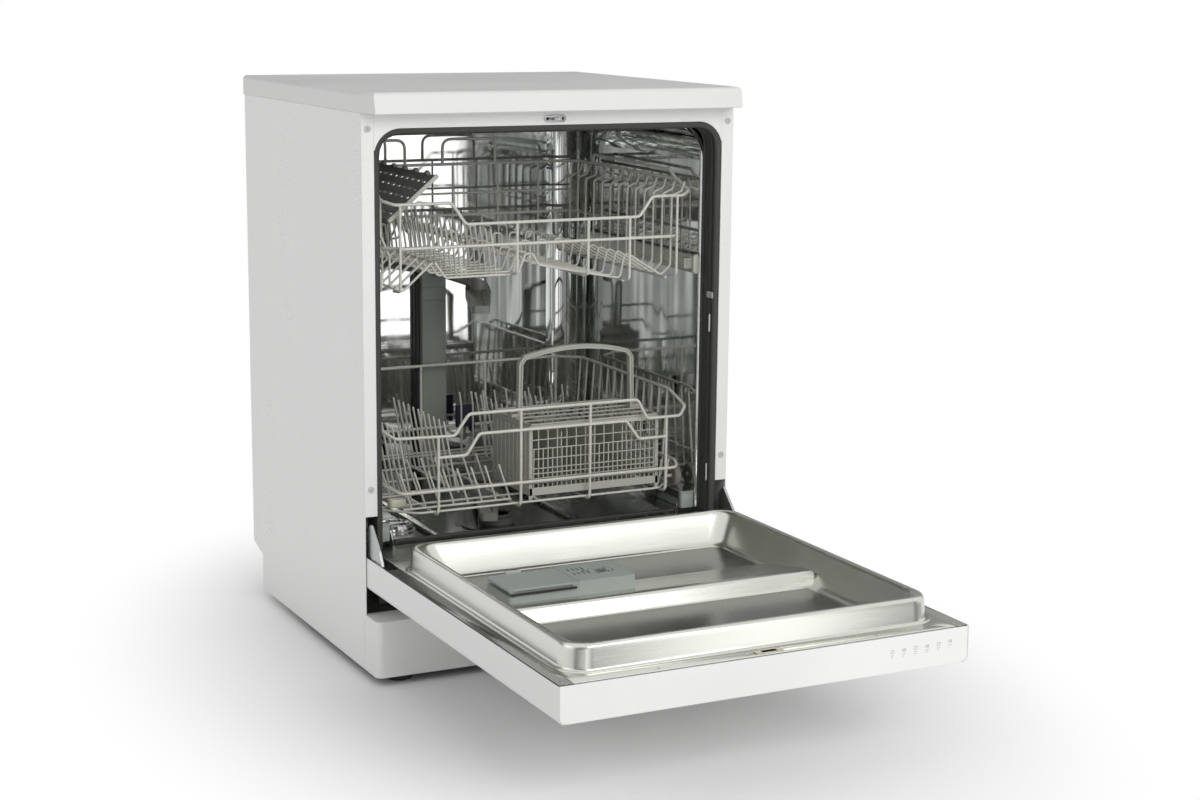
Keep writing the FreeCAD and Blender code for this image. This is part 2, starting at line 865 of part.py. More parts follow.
def spray_arm(reach, base, at):
    """A flat arm with pointed ends, a hub and a row of jets, turned as it came to rest."""
    half = s.arm_width / 2
    tip = s.arm_tip / 2
    outline = [
        (-reach, -tip, tip / 2),
        (-half, -half, half),
        (half, -half, half),
        (reach, -tip, tip / 2),
        (reach, tip, tip / 2),
        (half, half, half),
        (-half, half, half),
        (-reach, tip, tip / 2),
    ]
    x, y = at
    bore = Ring(ZERO, ZERO, s.arm_pin + s.run_gap)
    blade = slab("XY", [outline, bore], ZERO, s.arm_thick)
    jet = s.jet_width / 2
    through = (-s.jet_width, s.arm_thick + s.jet_width)
    jets = []
    for side in (-1, 1):
        near, far = sorted((float(half) * 1.2 * side, float(reach - tip) * side))
        middle = tip / 3 * side
        jets.append(windows("XY", near, far, middle - jet, middle + jet, (4, 1), half, through))
    turn = Rotation(Vector(0, 0, 1), float(s.arm_turn))
    return place(carved(blade, *jets), (x, y, base), turn)


def make_water_works():
    left = s.sump_x - s.sump_width / 2
    right = s.sump_x + s.sump_width / 2
    low = FLOOR_LOW - s.sump_depth
    wall = s.sump_wall
    outer = box_loop(left, right, SILL_Y + s.sump_setback, ARM_Y + s.sump_rear, s.sump_round)
    tank = slab("XY", [outer], low, FLOOR_LOW)
    inner_front = SILL_Y + s.sump_setback + wall
    inner_round = s.sump_round - wall
    inner = box_loop(left + wall, right - wall, inner_front, ARM_Y - s.arm_post * 2, inner_round)
    well = slab("XY", [inner], low + wall, FLOOR_LOW + wall)
    post = rod(s.arm_post, (ZERO, ARM_Y, FLOOR_LOW - wall), ARM_BASE - s.seat_gap - FLOOR_LOW + wall)
    pin_top = ARM_BASE + s.arm_thick + s.seat_gap
    pin = rod(s.arm_pin, (ZERO, ARM_Y, FLOOR_LOW), pin_top + wall - FLOOR_LOW)
    cap = rod(s.arm_cap, (ZERO, ARM_Y, pin_top), wall * 2)
    part("sump", joined(carved(tank, well), post, pin, cap))
    part("lower_spray_arm", spray_arm(ARM_REACH, ARM_BASE, (ZERO, ARM_Y)))

    plate_loops = [
        Ring(s.filter_x, FILTER_Y, s.filter_plate),
        Ring(s.filter_x, FILTER_Y, s.filter_cup + s.seat_gap),
    ]
    plate_top = s.pan_height + s.filter_plate_thick
    part("filter_plate", slab("XY", plate_loops, s.pan_height, plate_top))
    rim = s.filter_cup + wall
    rise = s.filter_cup_rise
    deep = -s.filter_cup_depth
    seat = s.filter_plate_thick + s.seat_gap
    cup = turned(
        [
            (0, deep),
            (s.filter_cup, deep),
            (s.filter_cup, seat),
            (rim, seat),
            (rim, rise, wall / 3),
            (s.filter_cup - wall, rise),
            (s.filter_cup - wall, deep + wall),
            (0, deep + wall),
        ],
        (s.filter_x, FILTER_Y, s.pan_height),
    )
    part("filter_cup", cup)

    half = s.salt_wide
    tank_low = (SALT_X - half, SALT_Y - half, FLOOR_LOW - s.salt_depth)
    tank = block(tank_low, (SALT_X + half, SALT_Y + half, FLOOR_LOW - s.seat_gap))
    neck = rod(s.salt_neck, (SALT_X, SALT_Y, FLOOR_LOW - wall), s.floor_sheet + wall)
    mouth = rod(s.salt_neck - wall * 2, (SALT_X, SALT_Y, FLOOR_LOW - s.salt_depth / 2), s.salt_depth)
    part("salt_reservoir", carved(joined(tank, neck), mouth))
    grip = s.salt_cap - wall
    salt_cap = turned(
        [
            (0, s.seat_gap),
            (s.salt_cap, s.seat_gap),
            (s.salt_cap, s.salt_cap_rise / 2),
            (grip, s.salt_cap_rise, 1),
            (grip - wall, s.salt_cap_rise),
            (grip - wall, s.salt_cap_rise / 2),
            (0, s.salt_cap_rise / 2),
        ],
        (SALT_X, SALT_Y, s.pan_height),
    )
    bar = block(
        (SALT_X - grip, SALT_Y - wall, s.pan_height + s.seat_gap),
        (SALT_X + grip, SALT_Y + wall, s.pan_height + s.salt_cap_rise),
    )
    part("salt_cap", joined(salt_cap, bar))

    stub = rod(s.pump_stub, (right, s.pump_y, s.pump_z), s.pump_stub_length, "x")
    motor = rod(s.pump_radius, (right + s.pump_stub_length, s.pump_y, s.pump_z), s.pump_length, "x")
    shoe_half = s.pump_radius / 2
    shoe = block(
        (right + s.pump_stub_length + shoe_half, s.pump_y - shoe_half, s.panel_gap + s.base_wall),
        (right + s.pump_length - shoe_half, s.pump_y + shoe_half, s.pump_z),
    )
    part("circulation_pump", joined(stub, motor, shoe))

    half = s.duct_width / 2
    duct_top = SOCKET_Z - s.duct_shoulder
    duct_loop = [
        (-half, s.pan_height),
        (half, s.pan_height),
        (half, duct_top, s.duct_round),
        (-half, duct_top, s.duct_round),
    ]
    channel = slab("XZ", [duct_loop], DUCT_FRONT, TUB_BACK)
    boss = rod(s.socket_radius, (ZERO, DUCT_FRONT, SOCKET_Z), s.duct_depth, "y")
    neck_low = (-s.socket_radius, DUCT_FRONT, duct_top - s.duct_round)
    neck = block(neck_low, (s.socket_radius, TUB_BACK, SOCKET_Z))
    mouth = rod(s.feed_radius + s.seat_gap, (ZERO, DUCT_FRONT, SOCKET_Z), s.duct_depth / 2, "y")
    part("feed_duct", carved(joined(channel, boss, neck), mouth))


HINGE_Y = FRONT - s.hinge_proud
HINGE_Z = s.pan_height + s.hinge_rise
FLANGE_Z = HINGE_Z + s.door_gap
DOOR_LOW = FLANGE_Z - s.door_thick
DOOR_HALF = HALF - s.door_side_gap
DOOR_END = HINGE_Y - (UNDER - HINGE_Z - s.door_top_gap)
DOOR_TAIL = HINGE_Y + s.door_tail
LINER_LOW = FLANGE_Z - s.liner_sheet
SHELL_TOP = LINER_LOW - s.seat_gap / 2
HINGE_ARM_X = DOOR_HALF - s.door_sheet - s.hinge_arm_gap - s.hinge_arm_thick
BRACKET_X = HINGE_ARM_X - s.bracket_gap - s.bracket_thick


def make_hinges():
    """Cabinet brackets with their pins, and the door's arms that turn on them."""
    nose = s.hinge_pin * 3
    leg_front = SILL_Y + nose * 2
    leg_back = leg_front + s.hinge_arm_reach
    plate_loop = [
        (HINGE_Y - nose, HINGE_Z - nose, nose * 0.9),
        (leg_front, HINGE_Z - nose),
        (leg_front, s.panel_gap + s.base_wall),
        (leg_back, s.panel_gap + s.base_wall),
        (leg_back, HINGE_Z + nose),
        (HINGE_Y - nose, HINGE_Z + nose, nose * 0.9),
    ]
    plate_in = -BRACKET_X
    plate_out = plate_in - s.bracket_thick
    plate = slab("YZ", [plate_loop], plate_out, plate_in)
    pin_end = -HINGE_ARM_X - s.hinge_arm_thick - s.panel_sheet
    pin = rod(s.hinge_pin, (pin_end, HINGE_Y, HINGE_Z), plate_in - pin_end, "x")
    left = joined(plate, pin)
    part("hinge_brackets", joined(left, mirrored(left)))

    arm_low = HINGE_Z - s.hinge_arm_drop
    arm_top = HINGE_Z + s.hinge_arm_rise
    arm_front = HINGE_Y - s.hinge_arm_reach
    tail = HINGE_Y + nose * 0.75
    arm_loop = [
        (arm_front, arm_low),
        (arm_front + s.hinge_arm_reach / 2, arm_low),
        (tail, HINGE_Z - nose, nose / 2),
        (tail, arm_top - nose, nose / 2),
        (HINGE_Y - nose / 4, arm_top, nose / 4),
        (arm_front + nose, HINGE_Z + nose * 1.6, nose * 2),
        (arm_front, HINGE_Z),
    ]
    arm_in = -HINGE_ARM_X
    arm_out = arm_in - s.hinge_arm_thick
    arm = slab("YZ", [arm_loop, Ring(HINGE_Y, HINGE_Z, s.hinge_pin + s.run_gap)], arm_out, arm_in)
    foot = block(
        (s.door_sheet - DOOR_HALF, arm_front, arm_low),
        (arm_in, arm_front + s.hinge_arm_reach / 2, SHELL_TOP - s.door_sheet),
    )
    left = joined(arm, foot)
    part("hinge_arms", joined(left, mirrored(left)))


FASCIA_Y = DOOR_END + s.fascia_length


def make_door_shell():
    inset = s.door_sheet
    inner = DOOR_HALF - inset
    pan_loop = [
        (-DOOR_HALF, SHELL_TOP),
        (-DOOR_HALF, DOOR_LOW, s.door_round),
        (DOOR_HALF, DOOR_LOW, s.door_round),
        (DOOR_HALF, SHELL_TOP),
        (inner, SHELL_TOP),
        (inner, DOOR_LOW + inset, s.door_round - inset),
        (-inner, DOOR_LOW + inset, s.door_round - inset),
        (-inner, SHELL_TOP),
    ]
    pan = slab("XZ", [pan_loop], DOOR_END, DOOR_TAIL)
    tail_half = DOOR_HALF - s.door_tail_inset
    tail_wall = block((-tail_half, DOOR_TAIL - inset, DOOR_LOW), (tail_half, DOOR_TAIL, SHELL_TOP))
    window_half = DOOR_HALF - s.door_round - inset
    window = block(
        (-window_half, DOOR_END - inset, DOOR_LOW - inset),
        (window_half, FASCIA_Y, DOOR_LOW + inset * 2),
    )
    part("door_outer_panel", carved(joined(pan, tail_wall), window))

    gap = s.seat_gap
    wall = s.fascia_wall
    end_loop = [
        (gap - inner, SHELL_TOP),
        (gap - inner, DOOR_LOW + inset + gap, s.door_round - inset - gap),
        (inner - gap, DOOR_LOW + inset + gap, s.door_round - inset - gap),
        (inner - gap, SHELL_TOP),
    ]
    end = slab("XZ", [end_loop], DOOR_END, DOOR_END + wall)
    face_low = (gap - window_half, DOOR_END, DOOR_LOW)
    face = block(face_low, (window_half - gap, FASCIA_Y - gap, DOOR_LOW + wall))
    grip_half = s.grip_width / 2
    grip_front = DOOR_END + s.grip_end
    grip_back = grip_front + s.grip_length
    cup = slab(
        "XY",
        [box_loop(-grip_half - wall, grip_half + wall, grip_front - wall, grip_back + wall, s.door_round)],
        DOOR_LOW,
        DOOR_LOW + s.grip_depth + wall,
    )
    hand = slab(
        "XY",
        [box_loop(-grip_half, grip_half, grip_front, grip_back, s.door_round - wall)],
        DOOR_LOW - wall,
        DOOR_LOW + s.grip_depth,
    )
    button_y = DOOR_END + s.button_end
    holes = []
    for i, label in enumerate(("power_button", "programme_button", "start_button")):
        x = s.button_x + s.button_pitch * i
        holes.append(rod(s.button_radius + gap, (x, button_y, DOOR_LOW - wall), wall * 3))
        low = DOOR_LOW - s.button_proud
        knob = rod(s.button_radius, (x, button_y, low), s.button_length)
        part(label, rounded(knob, s.button_proud / 2, level_edge(low)))
    part("control_fascia", carved(joined(end, face, cup), hand, *holes))

    latch_front = DOOR_END + wall + gap
    latch_half = s.latch_width / 2
    slot_half = s.latch_slot / 2
    slot_front = DOOR_END + s.latch_edge
    slot_back = slot_front + s.latch_slot_length
    latch_low = SHELL_TOP - s.latch_deep
    case = block((-latch_half, latch_front, latch_low), (latch_half, slot_back + wall * 2, SHELL_TOP))
    mouth = block((-slot_half, slot_front, latch_low + wall), (slot_half, slot_back, SHELL_TOP + wall))
    hook = block(
        (-slot_half, slot_front + wall, latch_low + wall),
        (wall - slot_half, slot_back - wall, SHELL_TOP - wall),
    )
    part("door_latch", joined(carved(case, mouth), hook))


def make_striker():
    half = s.striker_width / 2
    thick = s.striker_thick
    middle = OPENING_TOP + s.striker_rise
    low = middle - thick
    tip = FRONT - s.striker_reach
    plate = block((-half, FRONT - thick / 3, low), (half, FRONT, middle + thick))
    outer = box_loop(-half * 0.7, half * 0.7, tip, FRONT, thick)
    inner = box_loop(thick - half * 0.7, half * 0.7 - thick, tip + thick, FRONT - thick / 2)
    loop = slab("XY", [outer, inner], middle - thick / 2, middle + thick / 2)
    part("door_striker", joined(plate, loop))


RIM_FRONT = DOOR_END + s.rim_end
RIM_REAR = HINGE_Y - s.rim_rear
RIM_TOP = FLANGE_Z + s.rim_height
RIM_HALF = DOOR_HALF - s.rim_side
TRAY_HALF = RIM_HALF - s.tray_side
TRAY_Z = FLANGE_Z - s.tray_depth
DISPENSER_LEFT = s.dispenser_inset - TRAY_HALF
DISPENSER_RIGHT = DISPENSER_LEFT + s.dispenser_width
DISPENSER_FRONT = HINGE_Y - s.dispenser_front
DISPENSER_REAR = DISPENSER_FRONT + s.dispenser_length
DISPENSER_TOP = FLANGE_Z + s.dispenser_rise
CAP_X = DISPENSER_RIGHT - s.cap_inset


def tray_loops(grow):
    """The tray's outlines at its floor and at the rim's top, grown by a sheet thickness."""
    tray_half = TRAY_HALF + grow
    inset = s.tray_inset - grow
    floor_loop = box_loop(-tray_half, tray_half, RIM_FRONT + inset, RIM_REAR - inset, s.tray_round)
    top_half = RIM_HALF - s.rim_land + grow
    land = s.rim_land - grow
    top_loop = box_loop(-top_half, top_half, RIM_FRONT + land, RIM_REAR - land, s.tray_round)
    return floor_loop, top_loop


def make_door_liner():
    thick = s.liner_sheet
    edge = DOOR_HALF - s.door_sheet - s.seat_gap
    front = DOOR_END + s.fascia_wall / 2
    rear = DOOR_TAIL - s.door_sheet * 2
    notch_x = DOOR_HALF - s.notch_width
    notch_y = HINGE_Y - s.notch_length
    flange_loop = [
        (-edge, front),
        (edge, front),
        (edge, notch_y - s.hinge_arm_reach),
        (notch_x, notch_y - s.hinge_arm_reach),
        (notch_x, rear),
        (-notch_x, rear),
        (-notch_x, notch_y - s.hinge_arm_reach),
        (-edge, notch_y - s.hinge_arm_reach),
    ]
    slot_half = s.latch_slot / 2
    slot_front = DOOR_END + s.latch_edge
    slot_loop = box_loop(-slot_half, slot_half, slot_front, slot_front + s.latch_slot_length)
    hole_half = RIM_HALF - thick
    hole_loop = box_loop(-hole_half, hole_half, RIM_FRONT + thick, RIM_REAR - thick, s.rim_round - thick)
    flange = slab("XY", [flange_loop, slot_loop, hole_loop], LINER_LOW, FLANGE_Z)

    ridge_loop = box_loop(-RIM_HALF, RIM_HALF, RIM_FRONT, RIM_REAR, s.rim_round)
    tray_low = TRAY_Z - thick
    ridge = slab("XY", [ridge_loop], tray_low, RIM_TOP)
    ridge = rounded(ridge, s.rim_edge, level_edge(RIM_TOP))
    floor_loop, top_loop = tray_loops(ZERO)
    tray = funnel(floor_loop, TRAY_Z, top_loop, RIM_TOP)
    mouth = slab("XY", [top_loop], RIM_TOP, RIM_TOP + thick)
    grown_floor, grown_top = tray_loops(thick)
    core = funnel(grown_floor, tray_low, grown_top, RIM_TOP)
    hollow_half = RIM_HALF - thick
    hollow_loop = box_loop(
        -hollow_half, hollow_half, RIM_FRONT + thick, RIM_REAR - thick, s.rim_round - thick
    )
    hollow = slab("XY", [hollow_loop], tray_low - thick, RIM_TOP - thick)
    hollow = carved(hollow, core)
    basin = carved(ridge, tray, hollow, mouth)

    wedge_front = HINGE_Y - s.wedge_front
    wedge_rear = HINGE_Y - s.wedge_rear
    wedge_top = TRAY_Z + s.wedge_height
    wedge_half = TRAY_HALF + s.wedge_overlap
    wedge_loop = [
        (wedge_front - s.wedge_lean, TRAY_Z - thick / 2),
        (wedge_front, wedge_top, s.wedge_lean / 2),
        (wedge_rear, TRAY_Z),
        (wedge_rear, TRAY_Z - thick / 2),
    ]
    wedge = slab("YZ", [wedge_loop], -wedge_half, wedge_half)
    pressing_loop = [
        (wedge_front - s.wedge_lean + thick, tray_low - thick),
        (wedge_front + thick, wedge_top - thick * 1.5, s.wedge_lean / 3),
        (wedge_rear - s.wedge_height, tray_low - thick),
    ]
    pressing_half = TRAY_HALF - thick * 2
    pressing = slab("YZ", [pressing_loop], -pressing_half, pressing_half)
    gap = s.seat_gap
    seat = block(
        (DISPENSER_LEFT - gap, DISPENSER_FRONT - gap, tray_low - thick),
        (DISPENSER_RIGHT + gap, DISPENSER_REAR + gap, RIM_TOP),
    )
    part("door_liner", carved(joined(flange, basin, wedge), pressing, seat))


def make_dispenser():
    gap = s.seat_gap
    body_low = DISPENSER_TOP - s.dispenser_deep
    outline = box_loop(DISPENSER_LEFT, DISPENSER_RIGHT, DISPENSER_FRONT, DISPENSER_REAR, s.dispenser_round)
    case = slab("XY", [outline], body_low, DISPENSER_TOP)
    lip = s.dispenser_lip
    lip_top = TRAY_Z - s.liner_sheet - gap
    lip_loop = box_loop(
        DISPENSER_LEFT - lip, DISPENSER_RIGHT + lip, DISPENSER_FRONT - lip, DISPENSER_REAR + lip, lip
    )
    flange = slab("XY", [lip_loop], lip_top - s.dispenser_lip_thick, lip_top)
    lid_right = DISPENSER_LEFT + s.lid_length
    lid_rear = DISPENSER_REAR - s.catch_depth - gap * 2
    lid_low = DISPENSER_TOP - s.lid_thick
    recess = block(
        (DISPENSER_LEFT - gap, DISPENSER_FRONT - gap, lid_low - gap),
        (lid_right + gap, DISPENSER_REAR + gap, DISPENSER_TOP + gap),
    )
    hinge_room = block(
        (DISPENSER_LEFT - gap, DISPENSER_FRONT - gap, lid_low - s.lid_axis),
        (DISPENSER_LEFT + s.lid_axis * 2, DISPENSER_REAR + gap, DISPENSER_TOP),
    )
    margin = s.cup_margin
    cup_left = DISPENSER_LEFT + margin * 1.5
    cup_front = DISPENSER_FRONT + margin
    cup_loop = box_loop(cup_left, lid_right - margin, cup_front, lid_rear - margin, margin / 2)
    cup = slab("XY", [cup_loop], lid_low - s.cup_depth, lid_low + gap)
    cap_y = (DISPENSER_FRONT + DISPENSER_REAR) / 2
    cap_low = DISPENSER_TOP - s.cap_height
    well = rod(s.cap_radius + gap, (CAP_X, cap_y, cap_low - gap), s.cap_height + gap * 2)
    throat = rod(s.cap_radius / 2, (CAP_X, cap_y, cap_low - s.cup_depth), s.cup_depth)
    part("dispenser_body", carved(joined(case, flange), recess, hinge_room, cup, well, throat))

    axis_x = DISPENSER_LEFT + s.lid_thick / 2
    axis_z = DISPENSER_TOP - s.lid_thick / 2
    lid_loop = [
        (axis_x, lid_low),
        (lid_right, lid_low),
        (lid_right, DISPENSER_TOP, s.lid_thick / 7),
        (axis_x, DISPENSER_TOP),
    ]
    plate = slab("XZ", [lid_loop], DISPENSER_FRONT, lid_rear)
    barrel_start = (axis_x, DISPENSER_FRONT, axis_z)
    barrel = rod(s.lid_thick / 2 - s.run_gap, barrel_start, lid_rear - DISPENSER_FRONT, "y")
    lid = joined(plate, barrel)
    grip = block(
        (DISPENSER_LEFT + margin, DISPENSER_FRONT - gap, lid_low - gap),
        (lid_right - margin, DISPENSER_FRONT + s.lid_lip, lid_low + s.lid_thick / 2),
    )
    part("detergent_lid", carved(lid, grip))

    catch_left = DISPENSER_LEFT + s.catch_inset - s.catch_width / 2
    catch_low = lid_low - gap
    catch = block(
        (catch_left, lid_rear + gap, catch_low),
        (catch_left + s.catch_width, DISPENSER_REAR, catch_low + s.catch_height),
    )
    part("lid_catch", rounded(catch, 1, level_edge(catch_low + s.catch_height)))

    grip_half = s.cap_radius / 6
    cap = turned(
        [
            (0, 0),
            (s.cap_radius, 0),
            (s.cap_radius, s.cap_height * 0.8),
            (s.cap_radius * 0.9, s.cap_height),
            (0, s.cap_height),
        ],
        (CAP_X, cap_y, cap_low),
    )
    bite_y = grip_half
    bites = []
    for near, far in ((-s.cap_radius * 0.75, -bite_y), (bite_y, s.cap_radius * 0.75)):
        bites.append(
            block(
                (CAP_X - s.cap_radius * 0.6, cap_y + near, cap_low + s.cap_height * 0.4),
                (CAP_X + s.cap_radius * 0.6, cap_y + far, DISPENSER_TOP + gap),
            )
        )
    part("rinse_aid_cap", carved(cap, *bites))


def make_screws():
    """Raised screw heads on the front columns."""
    x = HALF - s.column_width / 2
    low = s.column_foot + s.opening_round
    radius = s.column_width / 4
    height = s.door_gap * 0.6
    heads = []
    for side in (x, -x):
        for z in (low, OPENING_TOP):
            heads.append(rod(radius, (side, FRONT - height, z), height, "y"))
    part("panel_screws", grouped(*heads))


def mitred(points, thick):
    """The two sides of a bent wire with mitred corners, from its middle line."""
    path = [Vector(float(u), float(v), 0) for u, v in points]
    half = float(thick) / 2
    runs = [(end - start).normalize() for start, end in zip(path, path[1:])]
    left, right = [], []
    for i, point in enumerate(path):
        ahead = runs[min(i, len(runs) - 1)]
        behind = runs[max(i - 1, 0)]
        across = Vector(-(ahead + behind).y, (ahead + behind).x, 0).normalize()
        reach = half / across.dot(Vector(-ahead.y, ahead.x, 0))
        left.append(point + across * reach)
        right.append(point - across * reach)
    return left, right


def wire_strip(plane, ring, at, thick):
    """A flat outline made as thick as a wire."""
    to_space = AXES[plane]
    low = float(at) - float(thick) / 2
    corners = [to_space(p.x, p.y, low) for p in ring]
    face = Part.Face(Part.makePolygon(corners + corners[:1]))
    return face.extrude(to_space(0, 0, float(thick)))


def bent_wire(plane, points, at, thick):
    """A bent wire of square section in a plane."""
    left, right = mitred(points, thick)
    return wire_strip(plane, left + right[::-1], at, thick)


def wire_runs(plane, points, at, thick, cuts):
    """A bent wire cut at some of its bends, with a weld gap between the runs."""
    left, right = mitred(points, thick)
    back = float(s.weld_gap) / 2
    runs = []
    for first, last in zip(cuts, cuts[1:]):
        sides = []
        for side in (left, right):
            run = side[first:last + 1]
            opening = (run[1] - run[0]).normalize() * back
            closing = (run[-1] - run[-2]).normalize() * back
            sides.append([run[0] + opening, *run[1:-1], run[-1] - closing])
        runs.append(wire_strip(plane, sides[0] + sides[1][::-1], at, thick))
    return runs


def welded(wires):
    """One solid from wires that cross."""
    return wires[0].multiFuse(wires[1:]).removeSplitter()


def comb(plane, low, high, base, tip, at, pitch, lean=0.0):
    """A row of tines on their base wire, in one plane."""
    thick = s.tine_wire
    low, high, pitch = float(low), float(high), float(pitch)
    wires = [bent_wire(plane, [(low, base), (high, base)], at, thick)]
    return welded(wires + tines(plane, low, high, base, tip, at, pitch, lean))


def tines(plane, low, high, base, tip, at, pitch, lean=0.0):
    """Upright wires spread evenly along a row."""
    count = int((high - low) // pitch)
    first = low + (high - low - count * pitch) / 2
    wires = []
    for i in range(count + 1):
        foot = first + i * pitch
        wires.append(bent_wire(plane, [(foot, base), (foot - float(lean), tip)], at, s.tine_wire))
    return wires


def wave_top(wave, x):
    """The highest point of a bent floor wire under a tine row."""
    reach = float(s.tine_wire) / 2
    tops = []
    for (start_x, start_z), (end_x, end_z) in zip(wave, wave[1:]):
        run = float(end_x) - float(start_x)
        slope = (float(end_z) - float(start_z)) / run
        lift = float(s.basket_wire) / 2 * math.hypot(1, slope)
        for u in (x - reach, x + reach):
            if 0 <= (u - float(start_x)) / run <= 1:
                tops.append(float(start_z) + slope * (u - float(start_x)) + lift)
    return max(tops)


def halfway(start, end):
    return (start[0] + end[0]) / 2, (start[1] + end[1]) / 2


def even(low, high, count):
    low, high = float(low), float(high)
    return [low + (high - low) * i / (count - 1) for i in range(count)]


def grille(plane, rails, posts, at):
    """Rails and posts welded in one plane. A post is (place, low, high)."""
    wires = [bent_wire(plane, rail, at, s.basket_wire) for rail in rails]
    for where, low, high in posts:
        wires.append(bent_wire(plane, [(where, low), (where, high)], at, s.basket_wire))
    return welded(wires)


BASKET_FRONT = TUB_FRONT - s.basket_proud
BASKET_Y = BASKET_FRONT + s.basket_wire / 2
BASKET_BACK = TUB_BACK - s.basket_room
BASKET_NEAR = BASKET_Y + s.basket_wire / 2 + s.weld_gap
BASKET_FAR = BASKET_BACK - s.basket_wire / 2 - s.weld_gap
UPPER_HALF = TUB_HALF - s.upper_room
LOWER_HALF = TUB_HALF - s.lower_room
UPPER_FLOOR = RAIL_Z - s.upper_floor_drop
WHEEL_PLACES = {"front": BASKET_FRONT + s.wheel_front, "rear": BASKET_BACK - s.wheel_rear}


def make_upper_basket():
    wire = s.basket_wire
    half = UPPER_HALF - wire / 2
    inner = half - wire / 2 - s.weld_gap
    near, far = BASKET_NEAR, BASKET_FAR
    top = RAIL_Z + s.upper_rail
    dip = RAIL_Z + s.upper_dip
    band = RAIL_Z + s.upper_band
    side_top = RAIL_Z + s.upper_side
    loop_top = RAIL_Z + s.upper_loop
    low = UPPER_FLOOR
    bed = low + s.wave_bed
    wave = [
        (-inner, low),
        (-half * 0.87, low),
        (-half * 0.67, low + s.wave_crest),
        (-half * 0.6, bed),
        (-half * 0.12, bed),
        (-half * 0.07, low + s.wave_ridge),
        (ZERO, low + s.wave_middle),
        (half * 0.57, low),
        (half * 0.61, low + s.wave_tent),
        (half * 0.86, low + s.wave_foot),
        (inner, low + s.wave_foot),
    ]
    corners = [(-half, low, side_top), (half, low, side_top)]
    top_rail = [
        (-half, top),
        (-s.dip_left - s.dip_ramp, top),
        (-s.dip_left, dip),
        (s.dip_right, dip),
        (s.dip_right + s.dip_ramp, top),
        (half, top),
    ]
    band_rail = [(-half, band), (half, band)]
    posts = []
    for share in (-0.91, -0.17, 0.31, 0.57, 0.92):
        x = float(half) * share
        in_dip = -float(s.dip_left) < x < float(s.dip_right)
        posts.append((x, wave_top(wave, x), dip if in_dip else top))
    front = grille("XZ", [top_rail, band_rail], posts + corners, BASKET_Y)

    back_rails = [[(-half, side_top), (half, side_top)], band_rail]
    for left, right in ((-half * 0.62, -half * 0.24), (half * 0.03, half * 0.4)):
        back_rails.append([(left, side_top), (left, loop_top), (right, loop_top), (right, side_top)])
    back_posts = [(x, wave_top(wave, x), side_top) for x in even(-half * 0.86, half * 0.86, 5)]
    back = grille("XZ", back_rails, back_posts + corners, BASKET_BACK)

    floor_places = even(near + s.wire_margin, far - s.wire_margin, 13)
    side_rails = [[(near, side_top), (far, side_top)], [(near, band), (far, band)]]
    side_posts = [(y, low, side_top) for y in floor_places[::3]]
    sides = [grille("YZ", side_rails, side_posts, x) for x in (-half, half)]

    cuts = (0, 1, 2, 3, 4, 6, 7, 8, 9, 10)
    stringers = [
        [halfway(wave[0], wave[1])],
        [halfway(wave[1], wave[2])],
        [halfway(wave[2], wave[3])],
        [halfway(wave[3], wave[4])],
        [wave[5]],
        [halfway(wave[6], wave[7])],
        [halfway(wave[7], wave[8])],
        [halfway(wave[8], wave[9])],
        [halfway(wave[9], wave[10])],
    ]
    rows_of_runs = [wire_runs("XZ", wave, y, wire, cuts) for y in floor_places]
    panels = []
    for runs, places in zip(zip(*rows_of_runs), stringers):
        lengths = [bent_wire("YZ", [(near, z), (far, z)], x, wire) for x, z in places]
        panels.append(welded([*runs, *lengths]))
    rows = []
    for share in (-0.48, -0.25, 0.12, 0.3):
        x = float(half) * share
        seat = wave_top(wave, x) + float(s.weld_gap) + float(s.tine_wire) / 2
        tip = seat + float(s.upper_tine)
        row_near, row_far = near + s.wire_margin, far - s.wire_margin
        rows.append(comb("YZ", row_near, row_far, seat, tip, x, s.upper_pitch))
    part("upper_basket", shaped(Part.makeCompound([front, back, *sides, *panels, *rows])))


